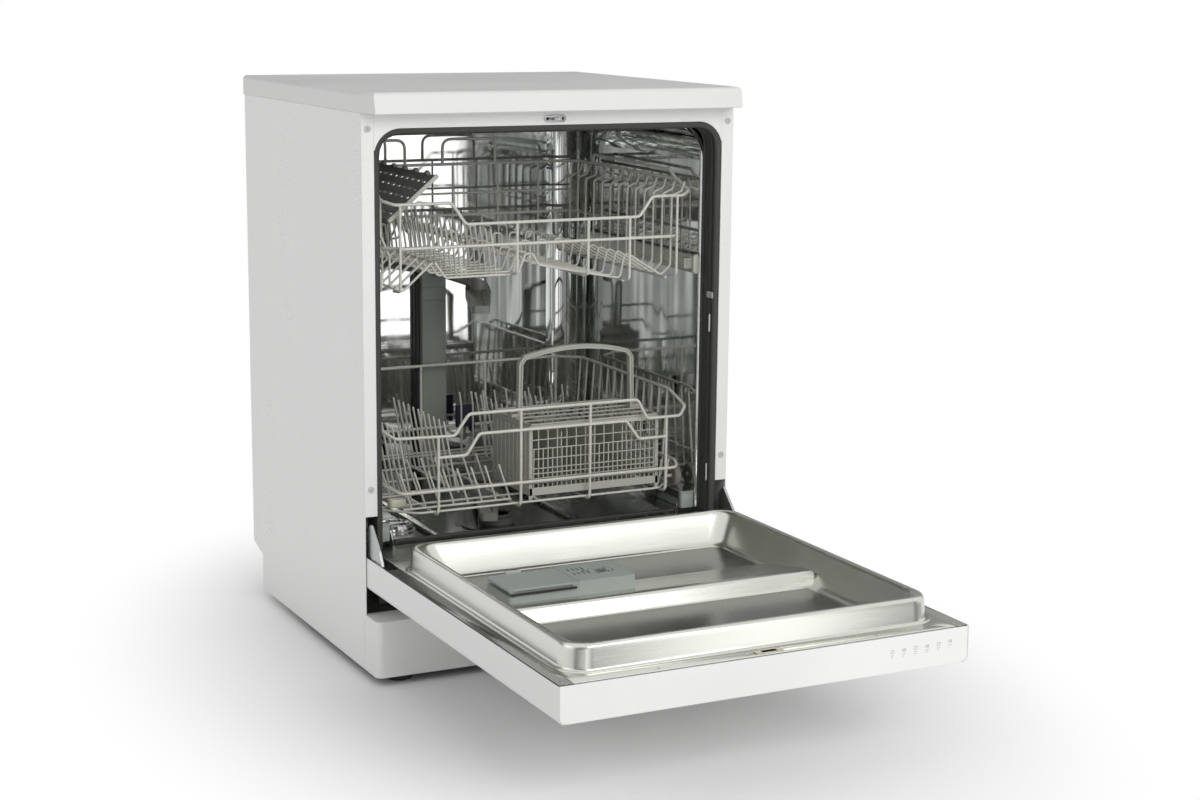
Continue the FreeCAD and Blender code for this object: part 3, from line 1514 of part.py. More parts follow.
def make_upper_runners():
    roll = s.roller_radius + s.seat_gap
    low = RAIL_Z - roll - s.rail_sheet
    high = RAIL_Z + roll + s.rail_sheet
    inner_x = s.rail_room - TUB_HALF
    outer_x = inner_x - s.rail_depth
    web = inner_x - s.rail_sheet
    channel = [
        (inner_x, low),
        (outer_x, low),
        (outer_x, low + s.rail_sheet),
        (web, low + s.rail_sheet),
        (web, high - s.rail_sheet),
        (outer_x, high - s.rail_sheet),
        (outer_x, high),
        (inner_x, high),
    ]
    rail_front = BASKET_FRONT + s.rail_setback
    rail_back = TUB_BACK - s.rail_back_room
    basket_x = -UPPER_HALF - s.seat_gap
    clips = []
    for y in (BASKET_NEAR + s.wire_margin, BASKET_FAR - s.wire_margin):
        clip_low = (inner_x, y - s.clip_length / 2, RAIL_Z - s.clip_length / 2)
        clips.append(block(clip_low, (basket_x, y + s.clip_length / 2, RAIL_Z + s.clip_length / 2)))
    left = joined(slab("XZ", [channel], rail_front, rail_back), *clips)
    part("upper_rails", joined(left, mirrored(left)))
    cap_loop = box_loop(outer_x, inner_x, low - s.rail_sheet, high + s.rail_sheet, s.rail_sheet)
    left = slab("XZ", [cap_loop], rail_front - s.rail_cap, rail_front)
    part("rail_caps", joined(left, mirrored(left)))

    pin_end = outer_x + s.roller_width + s.rail_sheet
    roller_y = rail_front + s.roller_setback
    shoe_y = roller_y + s.roller_pitch
    wall_x = -TUB_HALF
    plate = block(
        (wall_x, roller_y - roll, RAIL_Z - roll),
        (wall_x + s.roller_plate, shoe_y + roll, RAIL_Z + roll),
    )
    pin = rod(s.roller_pin, (wall_x, roller_y, RAIL_Z), pin_end - wall_x, "x")
    shoe = block(
        (wall_x, shoe_y - roll, RAIL_Z - s.roller_radius),
        (pin_end, shoe_y + roll, RAIL_Z + s.roller_radius),
    )
    support = joined(plate, pin, shoe)
    part("rail_supports", joined(support, mirrored(support)))
    bore = s.roller_pin + s.run_gap
    crown = s.roller_width / 5
    profile = [
        (bore, ZERO),
        (s.roller_radius - crown, ZERO),
        (s.roller_radius, crown),
        (s.roller_radius, s.roller_width - crown),
        (s.roller_radius - crown, s.roller_width),
        (bore, s.roller_width),
    ]
    roller_x = outer_x + s.rail_sheet / 2
    part("roller_left", turned(profile, (roller_x, roller_y, RAIL_Z), "x"))
    part("roller_right", turned(profile, (-roller_x - s.roller_width, roller_y, RAIL_Z), "x"))


def make_upper_spray():
    arm_top = SOCKET_Z - s.feed_radius - s.seat_gap * 4
    arm_low = arm_top - s.arm_thick
    hub_y = BASKET_Y + (BASKET_BACK - BASKET_Y) * 0.6
    tube = rod(s.feed_radius, (ZERO, hub_y, SOCKET_Z), DUCT_FRONT + s.duct_depth / 3 - hub_y, "y")
    hub = rod(s.feed_hub, (ZERO, hub_y, arm_top + s.seat_gap), SOCKET_Z + s.feed_radius - arm_top)
    hanger_top = UPPER_FLOOR + s.wave_middle - s.basket_wire * 0.75 - s.seat_gap
    hanger = rod(s.feed_radius, (ZERO, hub_y, SOCKET_Z), hanger_top - SOCKET_Z)
    pin = rod(s.arm_pin, (ZERO, hub_y, arm_low - s.seat_gap), s.arm_thick + s.seat_gap * 2)
    cap = rod(s.arm_cap, (ZERO, hub_y, arm_low - s.seat_gap - s.arm_thick / 3), s.arm_thick / 3)
    part("feed_tube", joined(tube, hub, hanger, pin, cap))
    part("upper_spray_arm", spray_arm(s.upper_arm_reach, arm_low, (ZERO, hub_y)))


def make_cup_shelf():
    """A slatted shelf on a rod along the basket's left side, tipped up towards the middle."""
    half = s.shelf_length / 2
    edge = s.shelf_thick * 2
    plate_loop = box_loop(ZERO, s.shelf_width, -half, half, s.shelf_thick)
    plate = slab("XY", [plate_loop], -s.shelf_thick / 2, s.shelf_thick / 2)
    slots = windows(
        "XY",
        edge,
        s.shelf_width - edge,
        edge - half,
        half - edge,
        (3, 14),
        s.shelf_slat,
        (-s.shelf_thick, s.shelf_thick),
    )
    tilt = Rotation(Vector(0, 1, 0), -float(s.shelf_tilt))
    hinge = rod(s.shelf_rod, (ZERO, -half, ZERO), s.shelf_length, "y")
    hinge_x = UPPER_HALF - s.basket_wire - s.seat_gap - s.shelf_rod
    shelf = joined(carved(plate, slots), hinge)
    part("cup_shelf", place(shelf, (-hinge_x, s.shelf_y, RAIL_Z + s.shelf_rise), tilt))


def make_lower_basket():
    wire = s.basket_wire
    half = LOWER_HALF - wire / 2
    near, far = BASKET_NEAR, BASKET_FAR
    low = LOWER_FLOOR
    band = low + s.lower_band
    top = low + s.lower_rail
    crest = low + s.lower_crest
    mid = top - s.lower_drop
    ramp = crest - top
    post_places = [half * share for share in (-0.7, -0.14, 0.34, 0.89)]

    def crested(left, right, fall, inset):
        """A rail that steps up between two ramps."""
        crest_left = inset - half * 0.48
        crest_right = half * 0.67 - inset
        return [
            (left, top - fall),
            (crest_left - ramp, top - fall),
            (crest_left, crest - fall),
            (crest_right, crest - fall),
            (crest_right + ramp, top - fall),
            (right, top - fall),
        ]

    top_rail = crested(-half, half, ZERO, ZERO)
    mid_rail = crested(post_places[0], post_places[-1], s.lower_drop, ramp / 2)
    band_rail = [(-half, band), (half, band)]
    tops = (top, crest, crest, top)
    posts = [(x, low, post_top) for x, post_top in zip(post_places, tops)]
    posts += [(-half, low, top), (half, low, top)]
    front = grille("XZ", [top_rail, mid_rail, band_rail], posts, BASKET_Y)

    back_rails = [[(-half, z), (half, z)] for z in (crest, mid, band)]
    back_posts = [(x, low, crest) for x in even(-half, half, 9)]
    back = grille("XZ", back_rails, back_posts, BASKET_BACK)

    side_rails = [[(near, z), (far, z)] for z in (crest, mid, band)]
    side_posts = [(y, LEDGE_TOP + s.wheel_radius, crest) for y in WHEEL_PLACES.values()]
    side_posts += [(y, low, crest) for y in even(near + s.side_margin, far - s.side_margin, 4)]
    sides = [grille("YZ", side_rails, side_posts, x) for x in (-half, half)]

    inner = half - wire / 2 - s.weld_gap
    floor_places = even(near + s.wire_margin, far - s.wire_margin, 12)
    floor_wires = [bent_wire("XZ", [(-inner, low), (inner, low)], y, wire) for y in floor_places]
    floor_wires += [bent_wire("YZ", [(near, low), (far, low)], x, wire) for x in post_places]
    floor = welded(floor_wires)

    seat = low + wire / 2 + s.tine_wire / 2 + s.weld_gap
    tip = low + s.lower_tine
    tips = [low + s.front_tine] + [tip] * 5
    rows = []
    for y, row_tip in zip(even(near + s.row_front, far - s.row_back, 6), tips):
        rows.append(comb("XZ", -half * 0.88, -half * 0.2, seat, row_tip, y, s.lower_pitch, s.tine_lean))
    frame = shaped(Part.makeCompound([front, back, *sides, floor, *rows]))
    part("lower_basket", grouped(frame, make_wheels()))

    # The folding row turns on its own round base wire
    base = seat - s.weld_gap + s.seat_gap
    fold_y = far - s.fold_back
    fold_left, fold_right = float(half) * 0.02, float(half) * 0.86
    start = Vector(fold_left, float(fold_y), float(base))
    bar = Part.makeCylinder(float(s.tine_wire) / 2, fold_right - fold_left, start, Vector(1, 0, 0))
    uprights = tines("XZ", fold_left, fold_right, base, tip, fold_y, float(s.fold_pitch))
    part("folding_tines", shaped(welded([bar, *uprights])))


def make_wheels():
    """The lower basket's wheels. Gives back the pins they turn on."""
    bore = s.wheel_pin + s.run_gap
    crown = s.wheel_width / 6
    profile = [
        (bore, ZERO),
        (s.wheel_radius - crown, ZERO),
        (s.wheel_radius, crown),
        (s.wheel_radius, s.wheel_width - crown),
        (s.wheel_radius - crown, s.wheel_width),
        (bore, s.wheel_width),
    ]
    axle_z = LEDGE_TOP + s.wheel_radius + s.seat_gap
    inner = TUB_HALF - s.wheel_room - s.wheel_width / 2
    start = LOWER_HALF + s.weld_gap
    pins = []
    for place_name, y in WHEEL_PLACES.items():
        part(f"wheel_{place_name}_left", turned(profile, (-inner - s.wheel_width, y, axle_z), "x"))
        part(f"wheel_{place_name}_right", turned(profile, (inner, y, axle_z), "x"))
        stub = rod(s.wheel_pin, (start, y, axle_z), inner + s.wheel_width - start, "x")
        shoulder = rod(s.wheel_pin * 1.6, (start, y, axle_z), inner - s.seat_gap - start, "x")
        pins.append(joined(stub, shoulder))
    pair = joined(*pins)
    return joined(pair, mirrored(pair))


CUTLERY_RIGHT = LOWER_HALF - s.cutlery_inset
CUTLERY_LEFT = CUTLERY_RIGHT - s.cutlery_width
CUTLERY_FRONT = BASKET_FRONT + s.cutlery_setback
CUTLERY_BACK = CUTLERY_FRONT + s.cutlery_depth
CUTLERY_LOW = LOWER_FLOOR + s.basket_wire / 2 + s.seat_gap
CUTLERY_TOP = CUTLERY_LOW + s.cutlery_height


def make_cutlery_basket():
    wall = s.cutlery_wall
    rim = CUTLERY_TOP - wall - s.seat_gap
    frame = wall * 4
    left, right = CUTLERY_LEFT + frame, CUTLERY_RIGHT - frame
    front, back = CUTLERY_FRONT + frame, CUTLERY_BACK - frame
    low, high = CUTLERY_LOW + frame, rim - frame
    depth_y = (CUTLERY_FRONT - wall, CUTLERY_BACK + wall)
    depth_x = (CUTLERY_LEFT - wall, CUTLERY_RIGHT + wall)
    depth_z = (CUTLERY_LOW - wall, CUTLERY_LOW + wall * 2)
    through_y = windows("XZ", left, right, low, high, (14, 4), wall, depth_y)
    through_x = windows("YZ", front, back, low, high, (6, 3), wall, depth_x)
    through_z = windows("XY", left, right, front, back, (8, 5), wall, depth_z)
    in_front, in_back = CUTLERY_FRONT + wall, CUTLERY_BACK - wall
    in_left, in_right = CUTLERY_LEFT + wall, CUTLERY_RIGHT - wall
    near, far = in_front + s.weld_gap, in_back - s.weld_gap
    start, end = in_left + s.weld_gap, in_right - s.weld_gap
    panels = [
        carved(block((CUTLERY_LEFT, CUTLERY_FRONT, CUTLERY_LOW), (CUTLERY_RIGHT, in_front, rim)), through_y),
        carved(block((CUTLERY_LEFT, in_back, CUTLERY_LOW), (CUTLERY_RIGHT, CUTLERY_BACK, rim)), through_y),
        carved(block((CUTLERY_LEFT, near, CUTLERY_LOW), (in_left, far, rim)), through_x),
        carved(block((in_right, near, CUTLERY_LOW), (CUTLERY_RIGHT, far, rim)), through_x),
        carved(block((start, near, CUTLERY_LOW), (end, far, CUTLERY_LOW + wall)), through_z),
    ]
    part("cutlery_basket", grouped(*panels))

    mid = (CUTLERY_FRONT + CUTLERY_BACK) / 2
    half_wide = s.cutlery_handle_wide / 2
    thick = s.cutlery_handle_thick
    leg_left = CUTLERY_LEFT + s.cutlery_handle_inset
    leg_right = CUTLERY_RIGHT - s.cutlery_handle_inset
    edge = wall * 2
    lid_low = CUTLERY_TOP - wall
    plate = block((CUTLERY_LEFT, CUTLERY_FRONT, lid_low), (CUTLERY_RIGHT, CUTLERY_BACK, CUTLERY_TOP))
    slots = windows(
        "XY",
        CUTLERY_LEFT + edge,
        CUTLERY_RIGHT - edge,
        CUTLERY_FRONT + edge,
        CUTLERY_BACK - edge,
        (10, 4),
        wall,
        (CUTLERY_TOP - edge, CUTLERY_TOP + wall),
    )
    # The grid is notched at both ends and lifts past the handle's legs
    notch_near, notch_far = mid - half_wide - wall, mid + half_wide + wall
    notch_low, notch_high = CUTLERY_TOP - edge, CUTLERY_TOP + wall
    notch_in = leg_left + thick + wall
    notch_out = leg_right - thick - wall
    notch_left = block((CUTLERY_LEFT - wall, notch_near, notch_low), (notch_in, notch_far, notch_high))
    notch_right = block((notch_out, notch_near, notch_low), (CUTLERY_RIGHT + wall, notch_far, notch_high))
    part("cutlery_grid", carved(plate, slots, notch_left, notch_right))

    # The handle's feet reach out to the rim of the end walls
    foot_high = lid_low + thick
    crown = CUTLERY_LOW + s.cutlery_handle
    shoulder = crown - thick * 2
    bow = s.cutlery_height / 5
    handle_loop = [
        (CUTLERY_LEFT, lid_low),
        (leg_left + thick, lid_low),
        (leg_left + thick, shoulder, bow),
        ((CUTLERY_LEFT + CUTLERY_RIGHT) / 2, crown, s.cutlery_width),
        (leg_right - thick, shoulder, bow),
        (leg_right - thick, lid_low),
        (CUTLERY_RIGHT, lid_low),
        (CUTLERY_RIGHT, foot_high),
        (leg_right, foot_high),
        (leg_right, shoulder + thick, bow + thick),
        ((CUTLERY_LEFT + CUTLERY_RIGHT) / 2, crown + thick, s.cutlery_width),
        (leg_left, shoulder + thick, bow + thick),
        (leg_left, foot_high),
        (CUTLERY_LEFT, foot_high),
    ]
    part("cutlery_handle", slab("XZ", [handle_loop], mid - half_wide, mid + half_wide))


make_worktop()
make_side_panels()
make_back_panel()
make_front_header()
make_tub()
make_gasket()
make_plinth()
make_base()
make_ports()
make_water_works()
make_hinges()
make_door_shell()
make_striker()
make_door_liner()
make_dispenser()
make_screws()
make_upper_basket()
make_upper_runners()
make_upper_spray()
make_cup_shelf()
make_lower_basket()
make_cutlery_basket()

doc.recompute()
faults = [f"{item.Name} {item.Label}" for item in doc.Objects if {"Invalid", "Error"} & set(item.State)]
for item in parts:
    if item.Shape.isNull() or not item.Shape.isValid():
        faults.append(f"{item.Label} has no valid shape")
if faults:
    raise RuntimeError("; ".join(faults))
os.makedirs("parts", exist_ok=True)
for item in parts:
    item.Shape.exportStep(f"parts/{item.Label}.step")
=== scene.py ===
import math

import bmesh
import bpy
from mathutils import Matrix, Vector


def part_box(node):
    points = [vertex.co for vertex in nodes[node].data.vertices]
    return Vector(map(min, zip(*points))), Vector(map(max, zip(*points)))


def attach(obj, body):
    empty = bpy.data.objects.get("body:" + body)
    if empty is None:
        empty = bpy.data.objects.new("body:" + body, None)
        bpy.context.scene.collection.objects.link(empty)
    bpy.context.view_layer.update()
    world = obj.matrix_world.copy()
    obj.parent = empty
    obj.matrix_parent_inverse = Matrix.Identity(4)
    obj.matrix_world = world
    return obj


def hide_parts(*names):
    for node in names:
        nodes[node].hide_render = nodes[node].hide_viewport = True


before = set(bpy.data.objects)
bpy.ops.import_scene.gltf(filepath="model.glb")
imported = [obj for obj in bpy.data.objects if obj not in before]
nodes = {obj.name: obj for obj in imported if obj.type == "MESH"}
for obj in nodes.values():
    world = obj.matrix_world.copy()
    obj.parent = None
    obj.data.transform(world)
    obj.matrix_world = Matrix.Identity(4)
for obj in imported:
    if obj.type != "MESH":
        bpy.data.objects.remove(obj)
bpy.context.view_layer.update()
scene = bpy.context.scene
scene.view_settings.view_transform = "Standard"
MM = 0.001


# Camera at the photograph's viewing angle
CAMERA_PLACE = (-1.3633, -3.0922, 1.0042)
CAMERA_YAW = 26.79
CAMERA_PITCH = 10.96
CAMERA_ROLL = 0.57
CAMERA_LENS = 64.97
CAMERA_SENSOR = 36


def add_camera():
    """Places the camera and turns it by its yaw, pitch and roll in degrees."""
    yaw, pitch, roll = (math.radians(a) for a in (CAMERA_YAW, CAMERA_PITCH, CAMERA_ROLL))
    ahead = Vector((math.sin(yaw) * math.cos(pitch), math.cos(yaw) * math.cos(pitch), -math.sin(pitch)))
    level = Vector((math.cos(yaw), -math.sin(yaw), 0))
    upright = level.cross(ahead)
    right = level * math.cos(roll) + upright * math.sin(roll)
    up = right.cross(ahead)
    camera = bpy.data.objects.new("camera", bpy.data.cameras.new("camera"))
    camera.data.lens = CAMERA_LENS
    camera.data.sensor_width = CAMERA_SENSOR
    camera.matrix_world = Matrix((right, up, -ahead)).transposed().to_4x4()
    camera.location = CAMERA_PLACE
    scene.collection.objects.link(camera)
    scene.camera = camera


# Materials
def linear(hex_colour):
    """An sRGB hex colour as linear red, green, blue and alpha."""
    channels = [int(hex_colour[i:i + 2], 16) / 255 for i in (1, 3, 5)]
    return [c / 12.92 if c <= 0.04045 else ((c + 0.055) / 1.055) ** 2.4 for c in channels] + [1]


def add(tree, kind, inputs=None, **settings):
    """Adds a node, with its settings and with values or links on its inputs."""
    item = tree.nodes.new("ShaderNode" + kind)
    for name, value in settings.items():
        setattr(item, name, value)
    for key, value in (inputs or {}).items():
        if isinstance(value, bpy.types.NodeSocket):
            tree.links.new(value, item.inputs[key])
        else:
            item.inputs[key].default_value = value
    return item


# The broad clouds of a finish in millimetres, and the part of the noise's range that its tones spread over
BROAD_PATCH = 160
NOISE_LOW = 0.35
NOISE_HIGH = 0.62
GLOSS_HIGH = 0.65


def surface(name, colour, shade, roughness, metallic=0.0, grain=2.0, stretch=(1, 1, 1), bump=0.02,
            spread=0.08, warp=0.0, warp_size=90.0, warp_way=(1, 1, 1), coat=0.0, ior=1.5, edge=0.0):
    """A finish with a fine grain of `grain` millimetres in its colour, gloss and relief.
    Bump, warp and edge are millimetres: the grain's height, the sheet's waviness and the eased edges."""
    material = bpy.data.materials.new(name)
    material.use_nodes = True
    tree = material.node_tree
    shader = tree.nodes["Principled BSDF"]
    shader.inputs["Metallic"].default_value = metallic
    shader.inputs["Coat Weight"].default_value = coat
    if metallic == 0:
        shader.inputs["IOR"].default_value = ior
    place = add(tree, "TexCoord").outputs["Object"]
    along = add(tree, "Mapping", {"Vector": place, "Scale": [s * 1000 / grain for s in stretch]})
    fine = add(tree, "TexNoise", {"Vector": along.outputs[0], "Scale": 1.0, "Detail": 3.0})
    broad = add(tree, "TexNoise", {"Vector": place, "Scale": 1000 / BROAD_PATCH, "Detail": 2.0})
    both = add(tree, "Math", {0: fine.outputs["Fac"], 1: broad.outputs["Fac"]}, operation="ADD")
    half = add(tree, "Math", {0: both.outputs[0], 1: 0.5}, operation="MULTIPLY")
    ramp = add(tree, "ValToRGB", {"Fac": half.outputs[0]})
    ramp.color_ramp.elements[0].position = NOISE_LOW
    ramp.color_ramp.elements[0].color = linear(shade)
    ramp.color_ramp.elements[1].position = NOISE_HIGH
    ramp.color_ramp.elements[1].color = linear(colour)
    tree.links.new(ramp.outputs["Color"], shader.inputs["Base Color"])
    gloss = add(tree, "MapRange", {"Value": half.outputs[0], "From Min": NOISE_LOW, "From Max": GLOSS_HIGH,
                                   "To Min": roughness * (1 - spread * 2),
                                   "To Max": roughness * (1 + spread * 2)})
    tree.links.new(gloss.outputs[0], shader.inputs["Roughness"])
    relief = add(tree, "Bump", {"Height": fine.outputs["Fac"], "Distance": bump * MM, "Strength": 1.0})
    if warp:
        drawn = add(tree, "Mapping", {"Vector": place, "Scale": warp_way})
        wave = add(tree, "TexNoise", {"Vector": drawn.outputs[0], "Scale": 1000 / warp_size, "Detail": 1.0})
        wavy = add(tree, "Bump", {"Height": wave.outputs["Fac"], "Distance": warp * MM, "Strength": 1.0})
        tree.links.new(wavy.outputs[0], relief.inputs["Normal"])
    if edge:
        eased = add(tree, "Bevel", {"Radius": edge * MM}, samples=4)
        tree.links.new(eased.outputs[0], relief.inputs["Normal"])
    tree.links.new(relief.outputs[0], shader.inputs["Normal"])
    return material


# Stove-enamelled steel sheet: an even white with a faint orange-peel ripple and a soft gloss
enamel = surface("white_enamel_on_steel", "#EDEDEC", "#EBEBEA", 0.32, grain=3.0, bump=0.001, edge=1.5)
# Painted screw heads: a light grey that hardly stands out from the enamel
screw_enamel = surface("light_grey_screw_enamel", "#C6C7C6", "#BDBEBD", 0.4, grain=2.0, bump=0.002, edge=0.5)
# Laminate on board: a satin white with a fine pressed texture
laminate = surface("white_laminate_worktop", "#E6E6E5", "#E0E0DF", 0.42, grain=1.2, bump=0.02, edge=2.0)
# Moulded ABS: white with a soft sheen
white_abs = surface("white_abs_moulding", "#EDEDEC", "#E8E8E7", 0.38, grain=0.8, bump=0.004, edge=1.0)
# Bright annealed stainless sheet: mirror-like, wavy and a little streaked
polished = surface("polished_stainless_sheet", "#DDDFDD", "#D0D2D0", 0.05, metallic=1.0, grain=14,
                   stretch=(1, 1, 0.12), bump=0.0, spread=0.3, warp=0.6, warp_size=55, warp_way=(1, 1, 0.1))
# Stainless floor of the tub: the same sheet, dulled by water to a rougher gloss, with painted shade: its base
# colour is darker for the shade under the lower basket and the dark things that it reflects
floor_steel_painted_shade = surface("stainless_floor_painted_shade", "#8B8D88", "#7B7D78", 0.22, metallic=1.0, grain=9, bump=0.0,
                      spread=0.2, warp=0.12, warp_size=120)
# Chrome on the salt cap and on the bead around the tub's mouth: smooth and bright
chrome = surface("bright_chrome", "#DCDDDC", "#D2D3D2", 0.1, metallic=1.0, grain=3, bump=0.0, edge=0.8)
# Satin stainless pressing: bright with fine drawn lines across the door
satin = surface("satin_stainless_pressing", "#D3D4CD", "#CDCEC7", 0.25, metallic=1.0, grain=0.8,
                stretch=(0.02, 1, 1), bump=0.00008, spread=0.06, warp=0.15, warp_size=170)
# The same pressing where it lies flat, with painted shade: a darker base colour that stands in for the dark
# room it reflects instead of the lamps
satin_flat_painted_shade = surface("satin_stainless_flat_painted_shade", "#949590", "#8E8F8A", 0.23, metallic=1.0, grain=0.8,
                     stretch=(0.02, 1, 1), bump=0.00008, spread=0.06, warp=0.15, warp_size=170)
# Zinc-plated steel: dull silver
zinc = surface("zinc_plated_steel", "#B9BBBB", "#97999A", 0.36, metallic=1.0, grain=5, bump=0.01, edge=0.6)
# Yellow-passivated zinc on the latch frame: dull silver with a straw tint
latch_zinc = surface("yellow_zinc_plate", "#CFCBB4", "#BDB9A2", 0.35, metallic=0.6, grain=4, bump=0.005,
                     edge=0.4)
# Black-painted steel: a soft black with a low gloss
black_steel = surface("black_painted_steel", "#1E1E1E", "#151515", 0.4, grain=1.5, bump=0.01, edge=0.5)
# EPDM rubber: dark grey, dull
rubber = surface("epdm_rubber_gasket", "#3C3C39", "#2C2C2A", 0.55, grain=1.0, bump=0.02, edge=1.5)
# Moulded polypropylene in black: dull, with a fine texture
black_pp = surface("black_polypropylene", "#1B1B1B", "#131313", 0.5, grain=0.8, bump=0.02, edge=0.6)
# Moulded polypropylene in mid grey: cool, with a soft sheen
grey_pp = surface("grey_polypropylene", "#A7AEA8", "#9CA39E", 0.42, grain=0.7, bump=0.01, edge=0.8)
# Moulded polypropylene of the feed duct: a darker, browner grey
duct_grey = surface("duct_grey_polypropylene", "#8E938C", "#82877F", 0.4, grain=0.7, bump=0.01, edge=0.8)
# Moulded polypropylene in dark grey: warm, with a soft sheen
dark_pp = surface("dark_grey_polypropylene", "#585853", "#4B4B47", 0.42, grain=0.7, bump=0.01, edge=0.6)
# Moulded polypropylene in dark blue: dull, nearly black
navy_pp = surface("dark_blue_polypropylene", "#20203C", "#1A1A33", 0.5, grain=0.8, bump=0.004, edge=0.5)
# Glide of unfilled polypropylene: a milky cream
cream_pp = surface("cream_polypropylene", "#E6E4D2", "#DAD8C6", 0.35, grain=1.0, bump=0.004, edge=0.8)
# Moulded polypropylene of the spray arms: a warm mid grey
arm_pp = surface("arm_grey_polypropylene", "#7C7D77", "#70716B", 0.4, grain=0.7, bump=0.01, edge=0.8)
# Moulded polypropylene of the cup shelf: a little darker than the spray arms
shelf_pp = surface("shelf_grey_polypropylene", "#767670", "#6A6A64", 0.4, grain=0.7, bump=0.01)
# Moulded polypropylene in light grey: warm and a little waxy
light_pp = surface("light_grey_polypropylene", "#BEBEB5", "#B1B1A8", 0.4, grain=0.7, bump=0.01, edge=0.5)
# Nylon-coated wire: a warm light grey with a smooth skin
nylon = surface("nylon_coated_wire", "#D6D5CC", "#C8C7BE", 0.3, grain=6, bump=0.01, coat=0.2)
# Acetal wheels: waxy, a mid beige grey, darker than the cream glide
acetal = surface("cream_acetal", "#8F8C83", "#838077", 0.4, grain=1.0, bump=0.004, edge=0.4)
# Screen-printed ink: pale grey on the white fascia
print_grey = surface("grey_screen_print", "#A6A6A6", "#A0A0A0", 0.5, grain=0.5, bump=0.0)
# Cast aluminium pump case: a grainy, dull silver
cast = surface("cast_aluminium", "#A5A7A8", "#8D8F90", 0.5, metallic=1.0, grain=1.2, bump=0.05)

# Finishes of the CAD nodes
NODE_FINISH = {
    enamel: ("side_panel_left", "side_panel_right", "front_header", "door_outer_panel"),
    screw_enamel: ("panel_screws",),
    laminate: ("worktop",),
    white_abs: ("plinth", "control_fascia", "inlet_valve"),
    polished: ("tub_wrapper", "tub_back_wall", "runner_ledges"),
    floor_steel_painted_shade: ("tub_floor", "filter_plate"),
    chrome: ("salt_cap",),
    satin: ("door_liner", "upper_rails"),
    zinc: ("back_panel", "hinge_arms", "door_striker"),
    black_steel: ("hinge_brackets",),
    rubber: ("door_gasket", "sill_seal"),
    black_pp: ("base_tray", "drain_spigot", "door_latch", "foot_front_left", "foot_front_right",
               "foot_rear_left", "foot_rear_right"),
    grey_pp: ("dispenser_body", "detergent_lid", "rinse_aid_cap"),
    arm_pp: ("lower_spray_arm", "upper_spray_arm", "feed_tube"),
    duct_grey: ("feed_duct",),
    dark_pp: ("sump", "filter_cup", "cup_shelf"),
    light_pp: ("salt_reservoir", "rail_supports", "power_button", "programme_button", "start_button",
               "lid_catch", "rail_caps", "cutlery_basket", "cutlery_grid", "cutlery_handle"),
    nylon: ("upper_basket", "lower_basket", "folding_tines"),
    acetal: ("roller_left", "roller_right", "wheel_front_left", "wheel_front_right", "wheel_rear_left",
             "wheel_rear_right"),
    cast: ("circulation_pump",),
}
for finish, names in NODE_FINISH.items():
    for name in names:
        for place in nodes[name].material_slots:
            place.material = finish


# Shapes, with every length in millimetres
BEND_STEPS = 5
LEAST_HALF_TURN = 0.05
LONGEST_REACH = 0.48
ROUND_STEPS = 8
LEAST_ROUND = 0.2
EASE_PART = 0.3
WELD = 0.01


def box_of(name):
    """The low and the high corner of a CAD node."""
    low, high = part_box(name)
    return Vector(low) / MM, Vector(high) / MM


def settle(item, finish, body, slot, *replaced):
    """Gives a new piece its finish and body, and hides the CAD nodes that it stands for. The slot is not
    used.
    """
    item.data.materials.append(finish)
    scene.collection.objects.link(item)
    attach(item, body)
    if replaced:
        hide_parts(*replaced)
    return item


def bend(points, radius, closed=False):
    """A path with its corners rounded."""
    path = [Vector(p) for p in points]
    if closed:
        path = [path[-1]] + path + [path[0]]
    rounded = [] if closed else [path[0]]
    for before, corner, after in zip(path, path[1:], path[2:]):
        back = before - corner
        onward = after - corner
        half_turn = max(back.angle(onward) / 2, LEAST_HALF_TURN)
        room = min(back.length, onward.length) * LONGEST_REACH
        reach = min(radius / math.tan(half_turn), room)
        start = corner + back.normalized() * reach
        end = corner + onward.normalized() * reach
        for step in range(BEND_STEPS + 1):
            share = step / BEND_STEPS
            rounded.append(start.lerp(corner, share).lerp(corner.lerp(end, share), share))
    return rounded if closed else rounded + [path[-1]]


def wire_work(name, wires, finish, body, slot, *replaced):
    """Round wires as one piece.
    A wire is its corners, its diameter, its bend radius and whether it is a loop."""
    curve = bpy.data.curves.new(name, "CURVE")
    curve.dimensions = "3D"
    curve.bevel_depth = MM / 2
    curve.bevel_resolution = 3
    curve.use_fill_caps = True
    for points, diameter, radius, closed in wires:
        path = bend(points, radius, closed)
        spline = curve.splines.new("POLY")
        spline.points.add(len(path) - 1)
        for point, place in zip(spline.points, path):
            point.co = (*(place * MM), 1)
            point.radius = diameter
        spline.use_cyclic_u = closed
        spline.use_smooth = True
    return settle(bpy.data.objects.new(name, curve), finish, body, slot, *replaced)


def moulding(name, shape, finish, body, slot, *replaced, crease=35, wound=False):
    """A mesh piece whose faces turn smoothly into each other below the crease angle.
    An open sheet comes wound the right way already; the faces of a solid are turned outwards here."""
    mesh = bpy.data.meshes.new(name)
    if not wound:
        bmesh.ops.recalc_face_normals(shape, faces=shape.faces)
    shape.to_mesh(mesh)
    shape.free()
    mesh.shade_smooth()
    mesh.set_sharp_from_angle(angle=math.radians(crease))
    return settle(bpy.data.objects.new(name, mesh), finish, body, slot, *replaced)


def round_rect(low, high, radius, z):
    """A rounded rectangle at a height, from its corners in plan."""
    corners = ((high[0] - radius, high[1] - radius), (low[0] + radius, high[1] - radius),
               (low[0] + radius, low[1] + radius), (high[0] - radius, low[1] + radius))
    ring = []
    for quarter, (x, y) in enumerate(corners):
        for step in range(ROUND_STEPS + 1):
            turn = math.pi / 2 * (quarter + step / ROUND_STEPS)
            ring.append(Vector((x + radius * math.cos(turn), y + radius * math.sin(turn), z)))
    return ring


